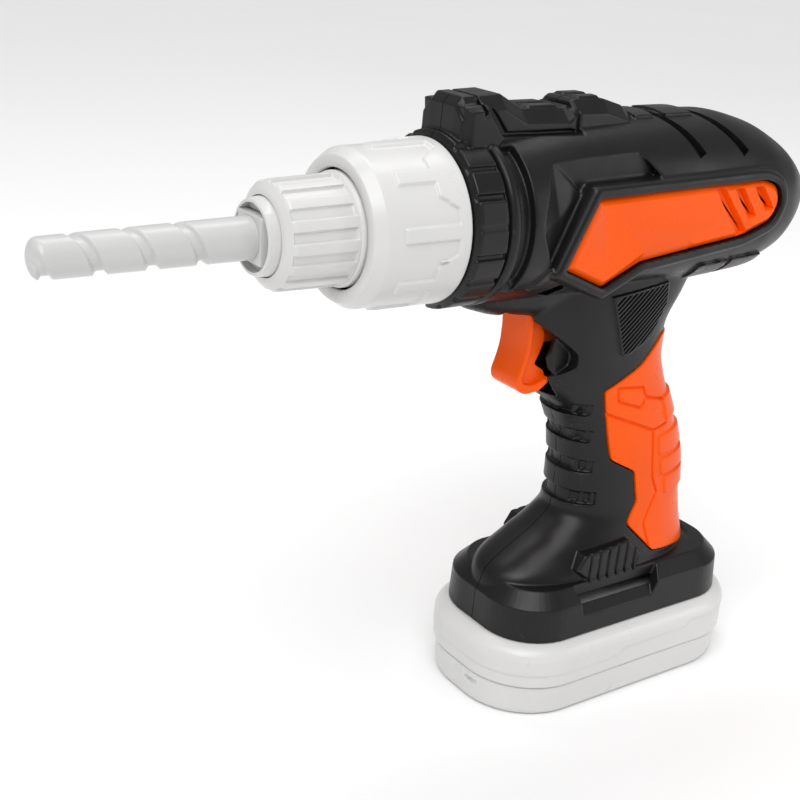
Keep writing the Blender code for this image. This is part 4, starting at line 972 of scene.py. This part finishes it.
def screw(name, axis, centre, seat, tip, way, material, body, node):
    stations = [(tip, 0.5), (tip + way * 1.6, 1.2), (seat, 1.2), (seat, 2.5), (seat + way * 0.15, 2.6),
                (seat + way * 1.1, 2.6), (seat + way * 1.5, 2.3), (seat + way * 1.75, 1.6),
                (seat + way * 1.8, 0.8)]
    made = turned(name, stations, axis, centre, 48)
    top = seat + way * 1.8
    low, high = sorted((top - way * 1.0, top + way))
    for wide, narrow in ((1.4, 0.3), (0.3, 1.4)):
        outline = ((centre[0] - wide, centre[1] - narrow), (centre[0] + wide, centre[1] - narrow),
                   (centre[0] + wide, centre[1] + narrow), (centre[0] - wide, centre[1] + narrow))
        cut(made, prism("recess", outline, axis, low, high))
    finish(made, material, body, (node,))


# ---------- materials ----------


def node_with(nodes, kind, values=()):
    """A new node of a kind, with some of its sockets set by name."""
    made = nodes.new("ShaderNode" + kind)
    for socket, value in dict(values).items():
        made.inputs[socket].default_value = value
    return made


def noise(nodes, links, source, scale, detail=2.0, rough=0.5):
    made = node_with(nodes, "TexNoise", {"Scale": scale, "Detail": detail, "Roughness": rough})
    links.new(source, made.inputs["Vector"])
    return made.outputs["Fac"]


def spread(nodes, links, source, low, high, to_low, to_high):
    """A value moved from one range into another."""
    ends = {"From Min": low, "From Max": high, "To Min": to_low, "To Max": to_high}
    made = node_with(nodes, "MapRange", ends)
    links.new(source, made.inputs["Value"])
    return made.outputs["Result"]


def blend_colours(nodes, links, first, second, factor):
    made = nodes.new("ShaderNodeMix")
    made.data_type = "RGBA"
    made.inputs["A"].default_value = (*first, 1.0)
    made.inputs["B"].default_value = (*second, 1.0)
    links.new(factor, made.inputs["Factor"])
    return made


def bump(nodes, links, height, strength, distance, below=None):
    made = node_with(nodes, "Bump", {"Strength": strength, "Distance": distance})
    links.new(height, made.inputs["Height"])
    if below:
        links.new(below, made.inputs["Normal"])
    return made.outputs["Normal"]


def new_material(name):
    """An empty material with its nodes, its links, its shader and the object's own coordinates."""
    made = bpy.data.materials.new(name)
    made.use_nodes = True
    nodes, links = made.node_tree.nodes, made.node_tree.links
    place = nodes.new("ShaderNodeTexCoord").outputs["Object"]
    return made, nodes, links, nodes["Principled BSDF"], place


def plastic(name, colour, roughness, grain, tone=0.06, wear=0.25, sheen_spot=0.08, coat=0.0, glow=0.0,
            shine=0.5):
    """Moulded plastic: a fine grain, faint colour drift, handled patches and brighter worn edges."""
    made, nodes, links, shader, place = new_material(name)
    patches = noise(nodes, links, place, 95.0, 5.0, 0.6)
    drift = spread(nodes, links, noise(nodes, links, place, 22.0, 3.0), 0.3, 0.7, 0.0, 1.0)
    base = blend_colours(nodes, links, [c * (1.0 - tone) for c in colour],
                         [min(1.0, c * (1.0 + tone)) for c in colour], drift)

    corners = nodes.new("ShaderNodeNewGeometry").outputs["Pointiness"]
    edge = spread(nodes, links, corners, 0.52, 0.62, 0.0, wear)
    broken = nodes.new("ShaderNodeMath")
    broken.operation = "MULTIPLY"
    links.new(edge, broken.inputs[0])
    links.new(spread(nodes, links, patches, 0.35, 0.65, 0.3, 1.0), broken.inputs[1])
    rubbed = [min(1.0, c * 1.25 + 0.03) for c in colour]
    worn = blend_colours(nodes, links, colour, rubbed, broken.outputs["Value"])
    links.new(base.outputs["Result"], worn.inputs["A"])
    links.new(worn.outputs["Result"], shader.inputs["Base Color"])

    rubbed_gloss = nodes.new("ShaderNodeMath")
    rubbed_gloss.operation = "SUBTRACT"
    gloss = spread(nodes, links, patches, 0.3, 0.7, roughness - sheen_spot, roughness + sheen_spot)
    links.new(gloss, rubbed_gloss.inputs[0])
    links.new(spread(nodes, links, edge, 0.0, 1.0, 0.0, 0.35), rubbed_gloss.inputs[1])
    links.new(rubbed_gloss.outputs["Value"], shader.inputs["Roughness"])

    first = bump(nodes, links, noise(nodes, links, place, grain), 0.16, 0.00006)
    second = bump(nodes, links, patches, 0.1, 0.00025, first)
    third = bump(nodes, links, noise(nodes, links, place, 2600.0), 0.05, 0.00005, second)
    links.new(third, shader.inputs["Normal"])
    shader.inputs["IOR"].default_value = 1.5
    shader.inputs["Specular IOR Level"].default_value = shine
    if coat:
        shader.inputs["Coat Weight"].default_value = coat
        shader.inputs["Coat Roughness"].default_value = 0.18
    if glow:
        shader.inputs["Subsurface Weight"].default_value = glow
        shader.inputs["Subsurface Radius"].default_value = (1.0, 0.5, 0.3)
        shader.inputs["Subsurface Scale"].default_value = 0.0015
    return made


def metal(name, colour, roughness, stretch=(1.0, 1.0, 1.0)):
    """Plated or machined metal with fine draw lines and a little tarnish."""
    made, nodes, links, shader, place = new_material(name)
    shader.inputs["Metallic"].default_value = 1.0
    mapping = node_with(nodes, "Mapping", {"Scale": stretch})
    links.new(place, mapping.inputs["Vector"])
    drawn = noise(nodes, links, mapping.outputs["Vector"], 1800.0, 4.0)
    tarnish = noise(nodes, links, place, 160.0, 5.0)
    base = blend_colours(nodes, links, [c * 0.82 for c in colour], colour, tarnish)
    links.new(base.outputs["Result"], shader.inputs["Base Color"])
    gloss = spread(nodes, links, drawn, 0.0, 1.0, roughness - 0.08, roughness + 0.12)
    links.new(gloss, shader.inputs["Roughness"])
    links.new(bump(nodes, links, drawn, 0.12, 0.00004), shader.inputs["Normal"])
    return made


BLACK = plastic("black_satin", (0.0075, 0.007, 0.0072), 0.36, 5200.0, tone=0.15, wear=0.5,
                sheen_spot=0.07, shine=0.3)
ORANGE = plastic("orange_gloss", (0.95, 0.10, 0.001), 0.30, 3600.0, tone=0.05, wear=0.0, shine=0.16)
GREY = plastic("pale_grey_gloss", (0.66, 0.655, 0.65), 0.33, 3600.0, tone=0.02, wear=0.0, coat=0.1)
BIT_GREY = plastic("bit_grey", (0.57, 0.57, 0.565), 0.34, 3600.0, tone=0.03, wear=0.0, coat=0.1)
NYLON = plastic("natural_nylon", (0.80, 0.79, 0.73), 0.42, 3000.0, tone=0.03, wear=0.1, glow=0.1)
DARK = plastic("dark_moulding", (0.05, 0.05, 0.055), 0.48, 4200.0, tone=0.08)
RED = plastic("red_insulation", (0.55, 0.015, 0.015), 0.42, 3000.0)
YELLOW = plastic("yellow_insulation", (0.72, 0.5, 0.02), 0.42, 3000.0)
BLACK_WIRE = plastic("black_insulation", (0.02, 0.02, 0.02), 0.42, 3000.0)
CELL = plastic("cell_film", (0.05, 0.10, 0.22), 0.26, 2400.0, tone=0.05, coat=0.4)
STEEL = metal("plated_steel", (0.66, 0.66, 0.67), 0.26, (0.15, 1.0, 1.0))
BRASS = metal("brass", (0.80, 0.58, 0.26), 0.28)

SLOT_MATERIALS = {
    "black_shell": BLACK, "orange_trim": ORANGE, "pale_grey": GREY, "bit_grey": BIT_GREY,
    "dark_plastic": DARK, "pale_plastic": NYLON, "red_plastic": RED, "yellow_plastic": YELLOW,
    "black_plastic": BLACK_WIRE, "steel": STEEL, "brass": BRASS, "cell_skin": CELL,
}
for part in frame["record"]["subparts"]:
    node = frame["nodes"][part["node"]]
    node.data.materials.clear()
    node.data.materials.append(SLOT_MATERIALS[part["material_slot"]])

housing(BLACK)
side_panels(ORANGE)
backstrap(ORANGE)
trigger(ORANGE)
torque_collar(GREY)
chuck(GREY)
drill_bit(BIT_GREY)
battery_base(GREY)
for number, (x, z, seat) in enumerate(SCREWS, 1):
    screw(f"screw_{number}", "Y", (x, z), seat, -5.6, 1, STEEL, "housing", f"housing_screw_{number}")
screw("base_screw", "Z", (COVER_SCREW_X, 0.0), 3.1, 17.6, -1, STEEL, "cover", "cover_screw")


# ---------- the floor, the lights and the camera ----------


def floor():
    mesh = bpy.data.meshes.new("floor")
    mesh.from_pydata([(-9.0, -9.0, 0.0), (9.0, -9.0, 0.0), (9.0, 9.0, 0.0), (-9.0, 9.0, 0.0)], [],
                     [(0, 1, 2, 3)])
    made = bpy.data.objects.new("floor", mesh)
    bpy.context.scene.collection.objects.link(made)
    material, nodes, links, shader, place = new_material("pale_floor")
    shader.inputs["Roughness"].default_value = 0.6
    shader.inputs["Specular IOR Level"].default_value = 0.2
    mix = blend_colours(nodes, links, (0.90, 0.90, 0.90), (0.93, 0.93, 0.93), noise(nodes, links, place, 3.0))
    links.new(mix.outputs["Result"], shader.inputs["Base Color"])
    mesh.materials.append(material)


def area_light(name, place, target, size, energy):
    data = bpy.data.lights.new(name, "AREA")
    data.shape = "RECTANGLE"
    data.size, data.size_y = size
    data.energy = energy
    made = bpy.data.objects.new(name, data)
    bpy.context.scene.collection.objects.link(made)
    made.location = place
    made.rotation_euler = (Vector(target) - Vector(place)).to_track_quat("-Z", "Y").to_euler()


def studio():
    """A white room, a broad light from above and three soft panels."""
    scene = bpy.context.scene
    scene.view_settings.view_transform = "Standard"
    scene.view_settings.look = "None"
    world = bpy.data.worlds.new("studio")
    scene.world = world
    world.use_nodes = True
    background = world.node_tree.nodes["Background"]
    background.inputs["Color"].default_value = (1.0, 1.0, 1.0, 1.0)
    background.inputs["Strength"].default_value = 0.36
    overhead = bpy.data.lights.new("overhead", "SUN")
    overhead.energy = 1.95
    overhead.angle = math.radians(50.0)
    sky = bpy.data.objects.new("overhead", overhead)
    scene.collection.objects.link(sky)
    sky.rotation_euler = Vector((0.45, 0.4, -1.0)).to_track_quat("-Z", "Y").to_euler()
    middle = (-0.05, 0.0, 0.1)
    area_light("key", (-0.75, -0.75, 1.0), middle, (0.5, 0.5), 2.2)
    area_light("top", (0.1, 0.3, 1.0), middle, (0.9, 0.25), 3.0)
    area_light("side", (0.8, -0.75, 0.35), middle, (0.2, 0.7), 1.6)


def camera():
    data = bpy.data.cameras.new("camera")
    data.sensor_width = 36.0
    data.lens = FOCAL_SHARE * 36.0
    data.clip_start = 0.01
    made = bpy.data.objects.new("camera", data)
    bpy.context.scene.collection.objects.link(made)
    azimuth, elevation, roll = (math.radians(v) for v in CAMERA_ANGLES)
    back = Vector((math.sin(azimuth) * math.cos(elevation), -math.cos(azimuth) * math.cos(elevation),
                   math.sin(elevation)))
    forward = -back
    right = forward.cross(Vector((0.0, 0.0, 1.0))).normalized()
    up = right.cross(forward)
    r = math.cos(roll) * right + math.sin(roll) * up
    u = -math.sin(roll) * right + math.cos(roll) * up
    place = Vector(CAMERA_TARGET) + back * CAMERA_DISTANCE
    made.matrix_world = Matrix(((r.x, u.x, back.x, place.x), (r.y, u.y, back.y, place.y),
                                (r.z, u.z, back.z, place.z), (0.0, 0.0, 0.0, 1.0)))
    bpy.context.scene.camera = made


floor()
studio()
camera()
